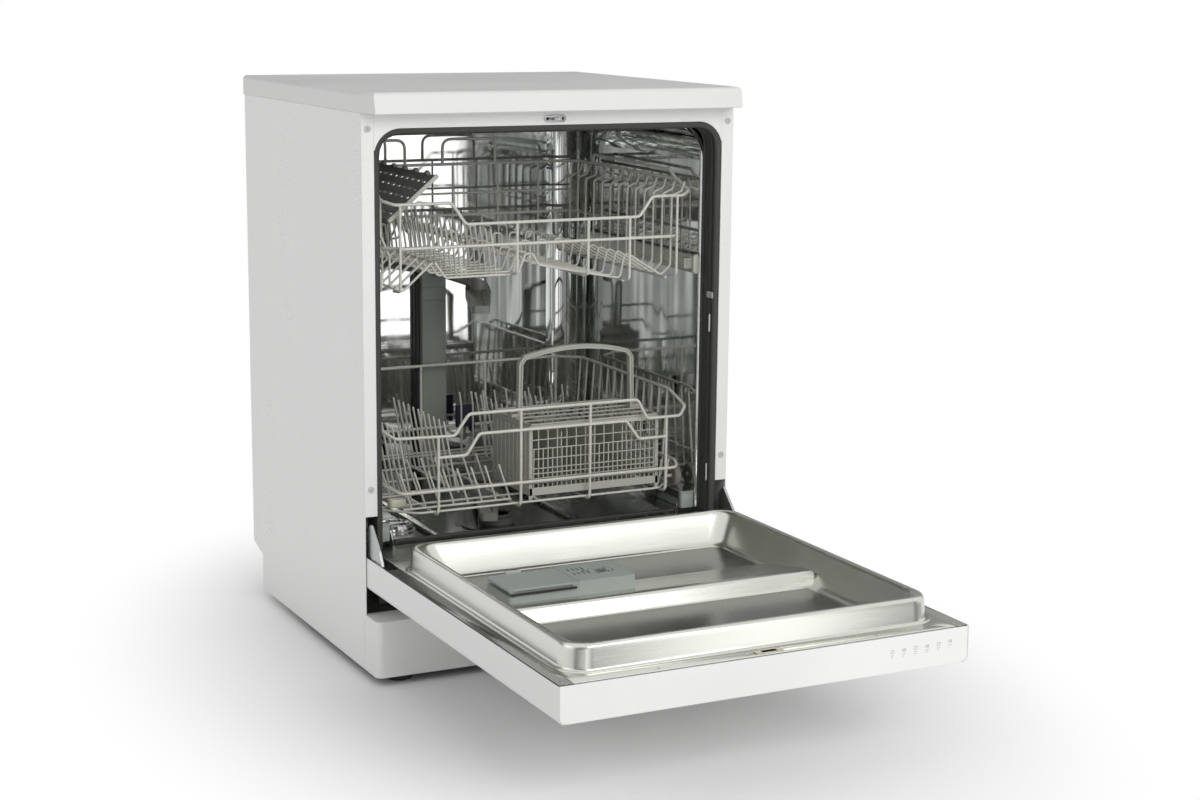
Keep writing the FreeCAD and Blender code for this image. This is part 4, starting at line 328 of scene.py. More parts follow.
def loft(shape, rings, looped=True, first=False, last=False):
    """Skins a row of rings and closes the first and the last one where asked."""
    rows = [[shape.verts.new(point * MM) for point in ring] for ring in rings]
    for row, onward in zip(rows, rows[1:]):
        count = len(row)
        for i in range(count if looped else count - 1):
            j = (i + 1) % count
            shape.faces.new((row[i], row[j], onward[j], onward[i]))
    if first:
        shape.faces.new(rows[0][::-1])
    if last:
        shape.faces.new(rows[-1])


def slab(shape, low, high, radius, ease):
    """A plate with rounded corners in plan and eased upper and lower edges."""
    rings = []
    part = ease * EASE_PART
    for inset, z in ((ease, low[2]), (part, low[2] + part), (0, low[2] + ease),
                     (0, high[2] - ease), (part, high[2] - part), (ease, high[2])):
        rings.append(round_rect((low[0] + inset, low[1] + inset), (high[0] - inset, high[1] - inset),
                                max(radius - inset, LEAST_ROUND), z))
    loft(shape, rings, first=True, last=True)


def bar(shape, low, high, ease=0.5):
    """A straight bar between two corners with eased edges."""
    made = bmesh.ops.create_cube(shape, size=1)["verts"]
    for vert in made:
        vert.co = [(a if side < 0 else b) * MM for a, b, side in zip(low, high, vert.co)]
    edges = list(dict.fromkeys(edge for vert in made for edge in vert.link_edges))
    bmesh.ops.bevel(shape, geom=edges, offset=ease * MM, segments=1, affect="EDGES", profile=0.5)


def turned(shape, profile, place, steps=40):
    """Turns (radius, height) corners about an upright axis through a place."""
    rings = []
    for radius, height in profile:
        ring = [Vector((radius * math.cos(a), radius * math.sin(a), height)) + Vector(place)
                for a in (2 * math.pi * i / steps for i in range(steps))]
        rings.append(ring)
    loft(shape, rings, first=True, last=True)


def sweep(shape, path, section):
    """Carries a section of (along y, outward) corners along a path.
    The path lies in an upright plane across the front."""
    across = Vector((0, 1, 0))
    rings = []
    for i, point in enumerate(path):
        ahead = path[min(i + 1, len(path) - 1)] - path[max(i - 1, 0)]
        outward = across.cross(ahead.normalized())
        rings.append([point + across * a + outward * b for a, b in section])
    loft(shape, rings, first=True, last=True)


# Upper basket of round wire
# The heights and places of the wires in both baskets are read from the photograph through the camera
RAIL = 5.0
WIRE = 3.6
TINE = 3.2
CAD_RAIL = 4.5
RIM_SIDE = 251
SHELF_WALL = 247.5
UPPER_RIM = 706
UPPER_SIDE_RIM = 704
UPPER_BAND = 622
UPPER_BACK_RAIL = 658
UPPER_LOOP_TOP = 747
UPPER_FRONT = ((-234, 686), (-146, 686), (-123, 654), (162, 654), (184, 684), (237, 684))
UPPER_FLOOR_WIRES = 13
UPPER_WAVE = ((-234, 610), (-234, 566), (-214, 557), (-165, 600), (-147, 574), (-30, 574), (-18, 604),
              (-6, 603), (4, 586), (77, 571), (141, 559), (149, 599), (212, 560), (228, 574), (229, 682))
UPPER_LENGTHWAYS = ((-228, 563), (-165, 597), (-90, 570), (-14, 600), (76, 567), (143, 556), (216, 557))
UPPER_POSTS = ((-226, 686, 560), (-41, 654, 577), (76, 654, 570), (146, 654, 559), (227, 684, 562))
UPPER_BACK_POSTS = (-150, -60, 24, 105, 179)
UPPER_LOOPS = ((-154, -60), (6, 100))
UPPER_GUARD = ((139, 704), (139, 721), (-128, 717), (-150, 704))
CUP_TINE_ROWS = (-118, -62)
CUP_TINES = 18
CUP_TINE_START = -168
CUP_TINE_PITCH = 19.7
HOOP_ROWS = (-95, 10, 115)
HOOPS = (12, 40, 68)
HOOP_WIDTH = 15


def upper_wires():
    low, high = box_of("upper_basket")
    front = low.y + CAD_RAIL / 2
    back = high.y - CAD_RAIL / 2
    side = high.x - CAD_RAIL / 2
    rim = [(-RIM_SIDE, front + 10, 692)]
    rim += [(x, front, z) for x, z in UPPER_FRONT]
    rim += [(RIM_SIDE, front + 8, 690), (RIM_SIDE, front + 44, UPPER_SIDE_RIM),
            (RIM_SIDE, back - 18, UPPER_RIM), (side - 18, back, UPPER_RIM), (18 - side, back, UPPER_RIM),
            (-RIM_SIDE, back - 18, UPPER_RIM), (-RIM_SIDE, front + 44, UPPER_SIDE_RIM)]
    band = [(-side, front + 30), (24 - side, front), (side - 24, front), (side, front + 30),
            (side, back - 20), (side - 20, back), (20 - side, back), (-side, back - 20)]
    back_rail = [(8 - side, back, UPPER_BACK_RAIL), (side - 8, back, UPPER_BACK_RAIL)]
    wires = [(rim, RAIL, 11, True),
             ([(x, y, UPPER_BAND) for x, y in band], RAIL, 16, True),
             (back_rail, WIRE, 5, False)]
    for x in (-RIM_SIDE, RIM_SIDE):
        wires.append(([(x, y, z) for y, z in UPPER_GUARD], RAIL, 9, False))
    for left, right in UPPER_LOOPS:
        loop = [(left, back, UPPER_RIM), (left, back, UPPER_LOOP_TOP), (right, back, UPPER_LOOP_TOP),
                (right, back, UPPER_RIM)]
        wires.append((loop, RAIL, 16, False))
    for x in UPPER_BACK_POSTS:
        wires.append(([(x, back, UPPER_RIM), (x, back, 600), (x, back - 18, 596)], WIRE, 6, False))
    for x, top, bottom in UPPER_POSTS:
        post = [(x, front, top), (x, front, bottom), (x, front + 26, bottom - 2)]
        wires.append((post, RAIL - 0.6, 7, False))
    first = front + 22
    pitch = (back - 22 - first) / (UPPER_FLOOR_WIRES - 1)
    for i in range(UPPER_FLOOR_WIRES):
        y = first + pitch * i
        path = [(-RIM_SIDE, y, 702), (-SHELF_WALL, y, 690), (-SHELF_WALL, y, 640)]
        path += [(x, y, z) for x, z in UPPER_WAVE]
        wires.append((path + [(side, y, 688), (RIM_SIDE, y, 702)], WIRE, 7, False))
    for x, z in UPPER_LENGTHWAYS:
        wires.append(([(x, front + 14, z), (x, back, z), (x, back, UPPER_BAND)], WIRE, 7, False))
    for x in CUP_TINE_ROWS:
        for i in range(CUP_TINES):
            y = CUP_TINE_START + CUP_TINE_PITCH * i
            wires.append(([(x, y, 571), (x - 2, y + 1, 600), (x - 8, y + 3, 641)], TINE, 12, False))
    for y in HOOP_ROWS:
        for x in HOOPS:
            end = x + HOOP_WIDTH
            wires.append(([(x, y, 578), (x, y, 614), (end, y, 612), (end, y, 575)], TINE, 7, False))
    wire_work("upper_basket_wires", wires, nylon, "upper_rack", "coated_wire", "upper_basket")


# Lower basket of round wire, with its wheel pins
LOWER_SIDE = 241.25
LOWER_RIM = 373
LOWER_SIDE_RIM = 372
LOWER_FLOOR = 227
LOWER_RUNNER = 222.5
LOWER_FRONT = ((-236, 344), (-142, 341), (-119, 372), (163, 372), (180, 341), (238, 341))
LOWER_HUMP = ((-168, 310), (-123, 310), (-102, 341), (144, 340), (166, 310), (214, 310))
TINE_FOOT = 228
LOWER_POSTS = ((-168, 341), (-34, 372), (82, 372), (214, 339))
LOWER_CROSS_WIRES = 13
SHORT_ROWS = (-166, -78)
SHORT_TINES = 8
SHORT_START = -199
SHORT_PITCH = 22.9
TALL_ROWS = ((-180, -118, 130), (-90, -81, 130), (48, -30, 115), (127, -30, 115))
TALL_PITCH = 22
SIDE_TINES = (219, 232)
WHEEL_PIN = 6.0
WHEEL_PLACES = (-150, 150)


def lower_wires():
    low, high = box_of("lower_basket")
    front = low.y + CAD_RAIL / 2
    back = high.y - CAD_RAIL / 2
    wheel_low, wheel_high = box_of("wheel_front_right")
    side = LOWER_SIDE
    rim = [(-RIM_SIDE, front + 12, 354)]
    rim += [(x, front, z) for x, z in LOWER_FRONT]
    rim += [(RIM_SIDE, front + 8, 354), (RIM_SIDE, front + 62, LOWER_SIDE_RIM),
            (RIM_SIDE, back - 30, LOWER_RIM), (side - 30, back, LOWER_RIM), (30 - side, back, LOWER_RIM),
            (-RIM_SIDE, back - 30, LOWER_RIM), (-RIM_SIDE, front + 62, LOWER_SIDE_RIM)]
    belt = [(-side, front + 30, 268), (14 - side, front, 260), (side - 6, front, 259),
            (side, front + 22, 266), (side, back - 26, 267), (side - 26, back, 267), (26 - side, back, 267),
            (-side, back - 26, 267)]
    base = [(-side, front + 52), (44 - side, front + 7), (side - 36, front + 7), (side, front + 44),
            (side, back - 30), (side - 30, back - 6), (30 - side, back - 6), (-side, back - 30)]
    wires = [(rim, RAIL, 10, True),
             ([(x, front, z) for x, z in LOWER_HUMP], RAIL, 9, False),
             (belt, RAIL, 16, True),
             ([(x, y, LOWER_FLOOR) for x, y in base], WIRE, 20, True)]
    for x, top in LOWER_POSTS:
        post = [(x, front, top), (x, front, 232), (x - 1.5, front - 0.5, LOWER_FLOOR),
                (x, front + 6, LOWER_RUNNER), (x, back, LOWER_RUNNER), (x, back, LOWER_RIM)]
        wires.append((post, RAIL - 0.4, 6, False))
    first = front + 66
    pitch = (back - 22 - first) / (LOWER_CROSS_WIRES - 1)
    for i in range(LOWER_CROSS_WIRES):
        y = first + pitch * i
        if i % 3 == 0:
            cross = [(-RIM_SIDE, y, LOWER_SIDE_RIM), (-side, y, 226), (side, y, 226),
                     (RIM_SIDE, y, LOWER_SIDE_RIM)]
            wires.append((cross, WIRE, 14, False))
        else:
            for way in (-1, 1):
                rung = [(way * RIM_SIDE, y, LOWER_SIDE_RIM), (way * side, y, 232),
                        (way * (side - 4), y, LOWER_FLOOR)]
                wires.append((rung, WIRE, 5, False))
    for y in SHORT_ROWS:
        wires.append(([(-212, y, TINE_FOOT), (-36, y, TINE_FOOT)], WIRE, 5, False))
        for i in range(SHORT_TINES):
            x = SHORT_START + SHORT_PITCH * i
            wires.append(([(x, y, TINE_FOOT), (x - 2, y, 237), (x - 17, y + 2, 283)], TINE, 10, False))
    for x, start, end in TALL_ROWS:
        wires.append(([(x, start - 8, TINE_FOOT), (x, end + 8, TINE_FOOT)], WIRE, 5, False))
        count = round((end - start) / TALL_PITCH)
        for i in range(count + 1):
            y = start + (end - start) * i / count
            wires.append(([(x, y, TINE_FOOT), (x - 2, y, 238), (x - 20, y + 2, 338)], TINE, 10, False))
    for x in SIDE_TINES:
        wires.append(([(x - 6, front + 24, LOWER_FLOOR), (x, front + 24, 268)], TINE, 4, False))
    axle = (wheel_low.z + wheel_high.z) / 2
    for y in WHEEL_PLACES:
        for way in (-1, 1):
            pin = [(way * (side - 2), y, axle), (way * (wheel_high.x + 1.5), y, axle)]
            wires.append((pin, WHEEL_PIN, 2, False))
    wire_work("lower_basket_wires", wires, nylon, "lower_rack", "coated_wire", "lower_basket")


# Folding tines on their rod
FOLD_AXIS = (139.9, 228.55)
FOLDING_TINES = 10


def folding_wires():
    low, high = box_of("folding_tines")
    y, z = FOLD_AXIS
    wires = [([(low.x + 1, y, z), (high.x - 1, y, z)], TINE, 2, False)]
    for i in range(FOLDING_TINES):
        x = low.x + 8 + (high.x - low.x - 16) * i / (FOLDING_TINES - 1)
        tine = [(x, y, z), (x, y + 1, high.z - 24), (x - 3, y + 1, high.z - 1.6)]
        wires.append((tine, TINE, 12, False))
    wire_work("folding_tine_wires", wires, nylon, "folding_tines", "coated_wire", "folding_tines")


# Cutlery basket: an open lattice above a fine lattice and a solid skirt, a slatted grid and an arched handle
COARSE_COLUMNS = 14
FINE_COLUMNS = 28
COLUMN_WIDTH = 1.7
FRONT_LENGTH = 222
LATTICE_ROWS = (0.17, 0.33, 0.505, 0.67, 0.76, 0.84, 0.92)
ROW_HEIGHT = 1.6
BASKET_WALL = 2.6
BASKET_FOOT = 7
SKIRT_TOP = 19
RIM_HEIGHT = 7
CORNER_POST = 6
END_RIBS = 9
BASKET_CELLS = 4
FLOOR_SLATS = 12
SLAT = 5
GRID_SLATS = 6
GRID_EDGE = 4
GRID_TIES = 12
HANDLE_INSET = 14
HANDLE_EDGE = 3.4
HANDLE_WEB = 1.5
HANDLE_GROOVE = 2
HANDLE_ARCH = 12
ARCH_STEPS = 16


def lattice(shape, along, wall, span, base, rim):
    """One lattice wall. Along is the axis that it runs on, wall the two faces on the other axis."""
    def piece(a, b, low, high, ease=0.4):
        first, second = ((a, wall[0], low), (b, wall[1], high))
        if along == 1:
            first, second = (wall[0], a, low), (wall[1], b, high)
        bar(shape, first, second, ease)

    start, end = span
    skirt = base + SKIRT_TOP
    top = rim - RIM_HEIGHT
    piece(start, end, base + BASKET_FOOT, skirt)
    piece(start, end, top, rim, 0.8)
    for corner in (start, end - CORNER_POST):
        piece(corner, corner + CORNER_POST, base, rim - 3, 0.8)
    for share in LATTICE_ROWS:
        z = top - (top - skirt) * share
        piece(start, end, z - ROW_HEIGHT / 2, z + ROW_HEIGHT / 2)
    middle = top - (top - skirt) * LATTICE_ROWS[1]
    share = (end - start) / FRONT_LENGTH
    for columns, low, high in ((round(COARSE_COLUMNS * share), middle, top + 1),
                               (round(FINE_COLUMNS * share), skirt - 1, middle)):
        for i in range(1, columns):
            x = start + (end - start) * i / columns
            piece(x - COLUMN_WIDTH / 2, x + COLUMN_WIDTH / 2, low, high)


def cutlery_basket():
    low, high = box_of("cutlery_basket")
    shape = bmesh.new()
    wall = BASKET_WALL
    foot = low.z + BASKET_FOOT
    inner = (low.y + wall, high.y - wall)
    lattice(shape, 0, (low.y, low.y + wall), (low.x, high.x), low.z, high.z)
    lattice(shape, 0, (high.y - wall, high.y), (low.x, high.x), low.z, high.z)
    lattice(shape, 1, (high.x - wall, high.x), inner, low.z, high.z)
    bar(shape, (low.x + 1.2, inner[0], foot), (low.x + wall, inner[1], high.z - 2))
    bar(shape, (low.x, inner[0], high.z - 8), (low.x + wall, inner[1], high.z), 0.8)
    bar(shape, (low.x, inner[0], foot), (low.x + wall, inner[1], low.z + 20), 0.8)
    for i in range(1, END_RIBS):
        y = inner[0] + (inner[1] - inner[0]) * i / END_RIBS
        bar(shape, (low.x, y - 2, low.z + 18), (low.x + wall, y + 2, high.z - 6))
    for i in range(1, BASKET_CELLS):
        x = low.x + (high.x - low.x) * i / BASKET_CELLS
        bar(shape, (x - 1, inner[0], low.z + 9), (x + 1, inner[1], high.z - 12))
    for i in range(FLOOR_SLATS):
        x = low.x + wall + (high.x - low.x - 2 * wall - SLAT) * i / (FLOOR_SLATS - 1)
        bar(shape, (x, inner[0], foot), (x + SLAT, inner[1], low.z + 9.5))
    moulding("cutlery_basket_lattice", shape, light_pp, "cutlery_box", "light_grey_plastic", "cutlery_basket")


def cutlery_grid():
    low, high = box_of("cutlery_grid")
    arm_low, arm_high = box_of("cutlery_handle")
    shape = bmesh.new()
    for x in (low.x, high.x - GRID_EDGE):
        bar(shape, (x, low.y, low.z), (x + GRID_EDGE, arm_low.y - 2, high.z), 0.8)
        bar(shape, (x, arm_high.y + 2, low.z), (x + GRID_EDGE, high.y, high.z), 0.8)
    for i in range(GRID_SLATS):
        y = low.y + (high.y - low.y - SLAT) * i / (GRID_SLATS - 1)
        bar(shape, (low.x, y, low.z), (high.x, y + SLAT, high.z), 0.8)
    for i in range(2, GRID_TIES - 1):
        x = low.x + (high.x - low.x) * i / GRID_TIES
        bar(shape, (x - 1.2, low.y + 1, low.z + 0.5), (x + 1.2, high.y - 1, high.z - 1.2))
    moulding("cutlery_grid_slats", shape, light_pp, "cutlery_grid", "light_grey_plastic", "cutlery_grid")


def cutlery_handle():
    low, high = box_of("cutlery_handle")
    shape = bmesh.new()
    y = (low.y + high.y) / 2
    left, right = low.x + HANDLE_INSET, high.x - HANDLE_INSET
    crown = high.z - HANDLE_EDGE
    path = bend([(left, y, low.z), (left + 2, y, crown - 22), (left + 4, y, crown - 15)], 6)[:-1]
    for i in range(ARCH_STEPS + 1):
        share = i / ARCH_STEPS
        x = left + 9 + (right - left - 18) * share
        path.append(Vector((x, y, crown - HANDLE_ARCH * (2 * share - 1) ** 2)))
    path += bend([(right - 4, y, crown - 15), (right - 2, y, crown - 22), (right, y, low.z)], 6)[1:]
    half = (high.y - low.y) / 2
    floor = half - HANDLE_GROOVE
    edge = HANDLE_EDGE
    web = HANDLE_WEB
    section = [(-half, -edge), (-half, -web), (-floor, -web), (-floor, web), (-half, web), (-half, edge),
               (half, edge), (half, web), (floor, web), (floor, -web), (half, -web), (half, -edge)]
    sweep(shape, path, section)
    for start, end in ((low.x, left + 3), (right - 3, high.x)):
        bar(shape, (start, low.y, low.z), (end, high.y, low.z + 6), 1)
    moulding("cutlery_handle_band", shape, light_pp, "cutlery_box", "light_grey_plastic", "cutlery_handle")


# Cup shelf: a slotted plate on its hinge rod with a toothed inner edge and a pale front edge
SHELF_HINGE = (-241.8, 0, 660)
SHELF_TILT = 40
SHELF_WIDTH = 103
SHELF_THICK = 4
SHELF_FRONT = 9
SHELF_SLATS = 6
SHELF_PITCH = 17
SHELF_SLAT = 12
SHELF_TIES = 14
SHELF_ROD = 4.6


def cup_shelf():
    low, high = box_of("cup_shelf")
    hinge = Vector(SHELF_HINGE)
    front = low.y + SHELF_FRONT
    half = SHELF_THICK / 2
    tilt = Matrix.Translation(hinge * MM) @ Matrix.Rotation(-math.radians(SHELF_TILT), 4, "Y")
    shape = bmesh.new()
    for i in range(SHELF_SLATS):
        start = 3 + i * SHELF_PITCH
        end = min(start + SHELF_SLAT, SHELF_WIDTH)
        bar(shape, (start, front, -half), (end, high.y - 2, half), 0.6)
    for i in range(SHELF_TIES + 1):
        y = front + (high.y - low.y - 21) * i / SHELF_TIES
        bar(shape, (2, y, 0.3 - half), (SHELF_WIDTH - 2, y + 10, half - 0.3), 0.4)
        if i % 2:
            bar(shape, (SHELF_WIDTH - 7, y, 0), (SHELF_WIDTH, y + 9, 7), 1.2)
    bmesh.ops.transform(shape, matrix=tilt, verts=shape.verts)
    moulding("cup_shelf_plate", shape, shelf_pp, "cup_shelf", "dark_grey_plastic", "cup_shelf")
    rod = [(hinge.x, low.y, hinge.z), (hinge.x, high.y, hinge.z)]
    wire_work("cup_shelf_rod", [(rod, SHELF_ROD, 1, False)], dark_pp, "cup_shelf", "dark_grey_plastic")
    shape = bmesh.new()
    bar(shape, (2, front - 2, -SHELF_THICK), (SHELF_WIDTH, front + 0.5, half + 0.5), 0.8)
    bmesh.ops.transform(shape, matrix=tilt, verts=shape.verts)
    moulding("cup_shelf_edge", shape, light_pp, "cup_shelf", "dark_grey_plastic")


# Door liner: one deep-drawn sheet with a raised rim, a sunk tray and the ramp under the dispenser
LINER_SHEET = 0.8
FLANGE = 183
RIM_LOW = (-268, -846)
RIM_HIGH = (268, -306)
RIM_ROUND = 35
ROUND_GROWTH = 0.8
ROUND_SHRINK = 0.35
NOTCH_X = 277
NOTCH_Y = -318
# Steps of the drawn wall: how far each lies outside the rim line, and its height
LINER_STEPS = ((9, 183), (7, 183), (6.2, 184.2), (5, 184.8), (3.8, 184.2), (3.2, 183.1), (2, 183.2),
               (0.6, 184.4), (0, 187), (-1.5, 208), (-2.2, 212), (-4, 214.8), (-6.5, 216), (-10, 216),
               (-12.5, 215.2), (-14.5, 213), (-16, 210), (-34, 176), (-36.5, 172.8), (-40, 170.8), (-46, 170))
TRAY_STEPS = ((-46, 170), (-47, 170), (-52, 170))
LATCH_WINDOW = ((-11, -872), (11, -863.5))
RAMP_FLOOR = 169
RAMP_SIDES = ((-236, 1.5), (-233, 0), (233, 0), (236, 1.5))
RAMP_PROFILE = ((-606, 169), (-604, 170.6), (-602, 173), (-598.5, 188), (-596.5, 190.8), (-593, 192),
                (-588, 192), (-584, 191.7), (-580, 191), (-478, 172.8), (-474, 171.9), (-462, 169))


def cut_window(shape, low, high):
    """Cuts a window out of a flat face, between two corners in plan."""
    for axis, value in ((0, low[0]), (0, high[0]), (1, low[1]), (1, high[1])):
        place = Vector((0, 0, 0))
        place[axis] = value * MM
        way = Vector((0, 0, 0))
        way[axis] = 1
        crossed = []
        for face in shape.faces:
            reach = [[vert.co[k] for vert in face.verts] for k in (0, 1)]
            if all(min(reach[k]) < high[k] * MM and max(reach[k]) > low[k] * MM for k in (0, 1)):
                crossed += [face] + list(face.edges) + list(face.verts)
        bmesh.ops.bisect_plane(shape, geom=list(dict.fromkeys(crossed)), plane_co=place, plane_no=way)
    inside = []
    for face in shape.faces:
        middle = face.calc_center_median()
        if all(low[k] * MM < middle[k] < high[k] * MM for k in (0, 1)):
            inside.append(face)
    bmesh.ops.delete(shape, geom=inside, context="FACES")


def rim_rings(steps):
    """Rings around the liner's rim, one for each step."""
    rings = []
    for grow, z in steps:
        corner = RIM_ROUND + grow * (ROUND_GROWTH if grow > 0 else ROUND_SHRINK)
        rings.append(round_rect([a - grow for a in RIM_LOW], [a + grow for a in RIM_HIGH], corner, z))
    return rings


def liner_sheet(name, shape, finish, *replaced):
    """A piece of the liner with its sheet's thickness below its faces."""
    item = moulding(name, shape, finish, "door", "satin_stainless", *replaced, crease=50, wound=True)
    sheet = item.modifiers.new("sheet", "SOLIDIFY")
    sheet.thickness = LINER_SHEET * MM
    sheet.offset = -1


def door_liner():
    low, high = box_of("door_liner")
    flange = round_rect((-NOTCH_X, low.y), (NOTCH_X, high.y), 2, FLANGE)
    shape = bmesh.new()
    loft(shape, [flange, rim_rings(LINER_STEPS)[0]])
    cut_window(shape, *LATCH_WINDOW)
    loft(shape, rim_rings(LINER_STEPS))
    bmesh.ops.remove_doubles(shape, verts=shape.verts, dist=WELD * MM)
    liner_sheet("door_liner_pressing", shape, satin, "door_liner")
    shape = bmesh.new()
    loft(shape, rim_rings(TRAY_STEPS), last=True)
    for way in (-1, 1):
        inner, outer = way * NOTCH_X, way * high.x
        ends = [(inner, low.y), (outer, low.y), (outer, NOTCH_Y), (inner, NOTCH_Y)]
        shape.faces.new([shape.verts.new(Vector((x, y, FLANGE)) * MM) for x, y in ends[::way]])
    # The tray floor and the side flanges take the pressing's darker copy, with painted shade
    liner_sheet("door_liner_flats", shape, satin_flat_painted_shade)
    shape = bmesh.new()
    rings = []
    for x, inset in RAMP_SIDES:
        rings.append([Vector((x, y, max(z - inset, RAMP_FLOOR))) for y, z in RAMP_PROFILE])
    loft(shape, rings, first=True, last=True)
    moulding("dispenser_ramp", shape, satin, "door", "satin_stainless", crease=50)


# Door gasket: a rubber frame with a front bead, a groove and an inner lip, and the tub's bead behind it
GASKET_SECTION = ((0, -236.7), (5.5, -236.7), (8.4, -235.4), (9.4, -232.4), (8.4, -229.6), (6.6, -228.4),
                  (6.6, -224), (8.6, -222.4), (9.2, -219), (8.6, -207), (6.8, -205.4), (6.8, -202),
                  (9.2, -200), (9.2, -197.7), (0, -197.7))
GASKET_LIP = 8.6
GASKET_ROUND = 42
BEAD_SECTION = ((9.6, -197.6), (11.6, -197.2), (12.8, -195.6), (12.8, -193.4), (11.6, -191.8), (9.6, -191.4))
# Catches on the right inner side of the gasket: two ribs and a pad, white and pale, whose colour is partly
# their own and partly a painted highlight
SEAL_SIDE = 269.4
SEAL_DEPTH = 2.3
SEAL_EASE = 1.1
SEAL_RIB = (3.6, 28)
SEAL_RIBS = ((-229, 475), (-228, 240))
SEAL_PAD = ((-236, 527.5), (-218, 537.5))


def mouth_frame(shape, section):
    """A frame up one side of the tub's mouth, across its top and down the other side."""
    low, high = box_of("door_gasket")
    rails = []
    for inset, y in section:
        half = high.x - inset
        top = high.z - inset
        corners = [(-half, y, low.z), (-half, y, top), (half, y, top), (half, y, low.z)]
        rails.append(bend(corners, GASKET_ROUND - inset))
    count = len(rails)
    rows = [[shape.verts.new(point * MM) for point in rail] for rail in rails]
    for k in range(count):
        row, onward = rows[k], rows[(k + 1) % count]
        for i in range(len(row) - 1):
            shape.faces.new((row[i], row[i + 1], onward[i + 1], onward[i]))
    for end in (0, -1):
        shape.faces.new([row[end] for row in rows])


def gasket():
    shape = bmesh.new()
    mouth_frame(shape, GASKET_SECTION)
    moulding("door_gasket_profile", shape, rubber, "cabinet", "gasket_rubber", "door_gasket", crease=50)
    shape = bmesh.new()
    mouth_frame(shape, BEAD_SECTION)
    moulding("tub_front_bead", shape, chrome, "cabinet", "polished_stainless", crease=50)
    # The white ribs and the pale pad carry a painted highlight as well as their own colour
    outer = SEAL_SIDE + SEAL_DEPTH
    shape = bmesh.new()
    for y, z in SEAL_RIBS:
        bar(shape, (SEAL_SIDE, y, z), (outer, y + SEAL_RIB[0], z + SEAL_RIB[1]), SEAL_EASE)
    moulding("seal_catch_ribs", shape, white_abs, "cabinet", "white_plastic")
    shape = bmesh.new()
    bar(shape, (SEAL_SIDE, *SEAL_PAD[0]), (outer, *SEAL_PAD[1]), SEAL_EASE)
    moulding("seal_catch_pad", shape, light_pp, "cabinet", "light_grey_plastic")


# Tub: the rounded corners of the drawn sheet
TUB_ROUND = 55
TUB_TOP_ROUND = 40
TUB_WALL_GAP = 0.6
TUB_BACK_GAP = 0.1
CEILING_DROP = 7.8
ARC_STEPS = 12


def corner_prism(shape, middle, radius, turn, ends, along):
    """Fills a square corner with a hollow round. The round lies across the axis that it runs along."""
    turns = [turn + math.pi / 2 * i / ARC_STEPS for i in range(ARC_STEPS + 1)]
    arc = [(math.cos(a), math.sin(a)) for a in turns]
    square = (arc[0][0] + arc[-1][0], arc[0][1] + arc[-1][1])
    rings = []
    for end in ends:
        places = [(middle[0] + radius * u, middle[1] + radius * v) for u, v in arc + [square]]
        rings.append([Vector((u, v, end)) if along == 2 else Vector((u, end, v)) for u, v in places])
    loft(shape, rings, first=True, last=True)


def tub_corners():
    high = box_of("tub_floor")[1]
    seal_high = box_of("door_gasket")[1]
    wall = seal_high.x - GASKET_LIP - TUB_WALL_GAP
    back = high.y - TUB_BACK_GAP
    ceiling = seal_high.z - CEILING_DROP
    shape = bmesh.new()
    for way, turn in ((1, 0), (-1, math.pi / 2)):
        middle = (way * (wall - TUB_ROUND), back - TUB_ROUND)
        corner_prism(shape, middle, TUB_ROUND, turn, (high.z, ceiling), 2)
        middle = (way * (wall - TUB_TOP_ROUND), ceiling - TUB_TOP_ROUND)
        corner_prism(shape, middle, TUB_TOP_ROUND, turn, (seal_high.y, back), 1)
    moulding("tub_corners", shape, polished, "cabinet", "polished_stainless", crease=50)


# Feed duct: a flat channel on the tub's back wall with a set-back edge and a panelled head; the set-back edge
# on the left is black, as painted shade
DUCT_FACE = (-23, 22)
DUCT_EDGE = 4
DUCT_CUT = 1.2
DUCT_HEAD = ((16, 0), (4, 2), (0, 7))
DUCT_LINES = (500, 478)
DUCT_LINE = 1.6
DUCT_REAR_EDGE = 9


def feed_duct():
    low, high = box_of("feed_duct")
    shape = bmesh.new()
    rings = []
    for z, inset in [(low.z, 0)] + [(high.z - drop, inset) for drop, inset in DUCT_HEAD]:
        left, right = DUCT_FACE[0] + inset, DUCT_FACE[1] - inset
        outline = ((left, high.y), (left, low.y + DUCT_EDGE), (left + DUCT_CUT, low.y + DUCT_CUT),
                   (left + DUCT_EDGE, low.y), (right - DUCT_EDGE, low.y),
                   (right - DUCT_CUT, low.y + DUCT_CUT), (right, low.y + DUCT_EDGE), (right, high.y))
        rings.append([Vector((x, y, z)) for x, y in outline])
    loft(shape, rings, first=True, last=True)
    for z in DUCT_LINES:
        bar(shape, (DUCT_FACE[0] + 3, low.y - 0.6, z), (DUCT_FACE[1] - 3, low.y + 1, z + DUCT_LINE), 0.3)
    moulding("feed_duct_channel", shape, duct_grey, "cabinet", "grey_plastic", "feed_duct")
    # A black strip down the duct's left side: painted shade beside the channel
    shape = bmesh.new()
    bar(shape, (low.x, low.y + DUCT_REAR_EDGE, low.z), (DUCT_FACE[0] + 0.5, high.y, high.z - 22), 1.5)
    moulding("feed_duct_edge_painted_shade", shape, black_pp, "cabinet", "grey_plastic")


# Dispenser: dosing marks and a dot, the lid's front lip with a black strip under it as the slot's painted
# shadow, and the rinse-aid cap's grip
DOSE_ROWS = (36, 56)
DOSE_MARKS = 4
DOSE_START = 10
DOSE_PITCH = 7
DOSE_MARK = (2.4, 11)
DOSE_DOT = ((27, 48.5), (32, 53.5))
GRIP_RIBS = 5
GRIP_START = -8
GRIP_PITCH = 3.4
GRIP_RIB = 1.8
GRIP_LONG = 11
GRIP_STEP = 3
MARK_SINK = 0.3
MARK_RISE = 0.3


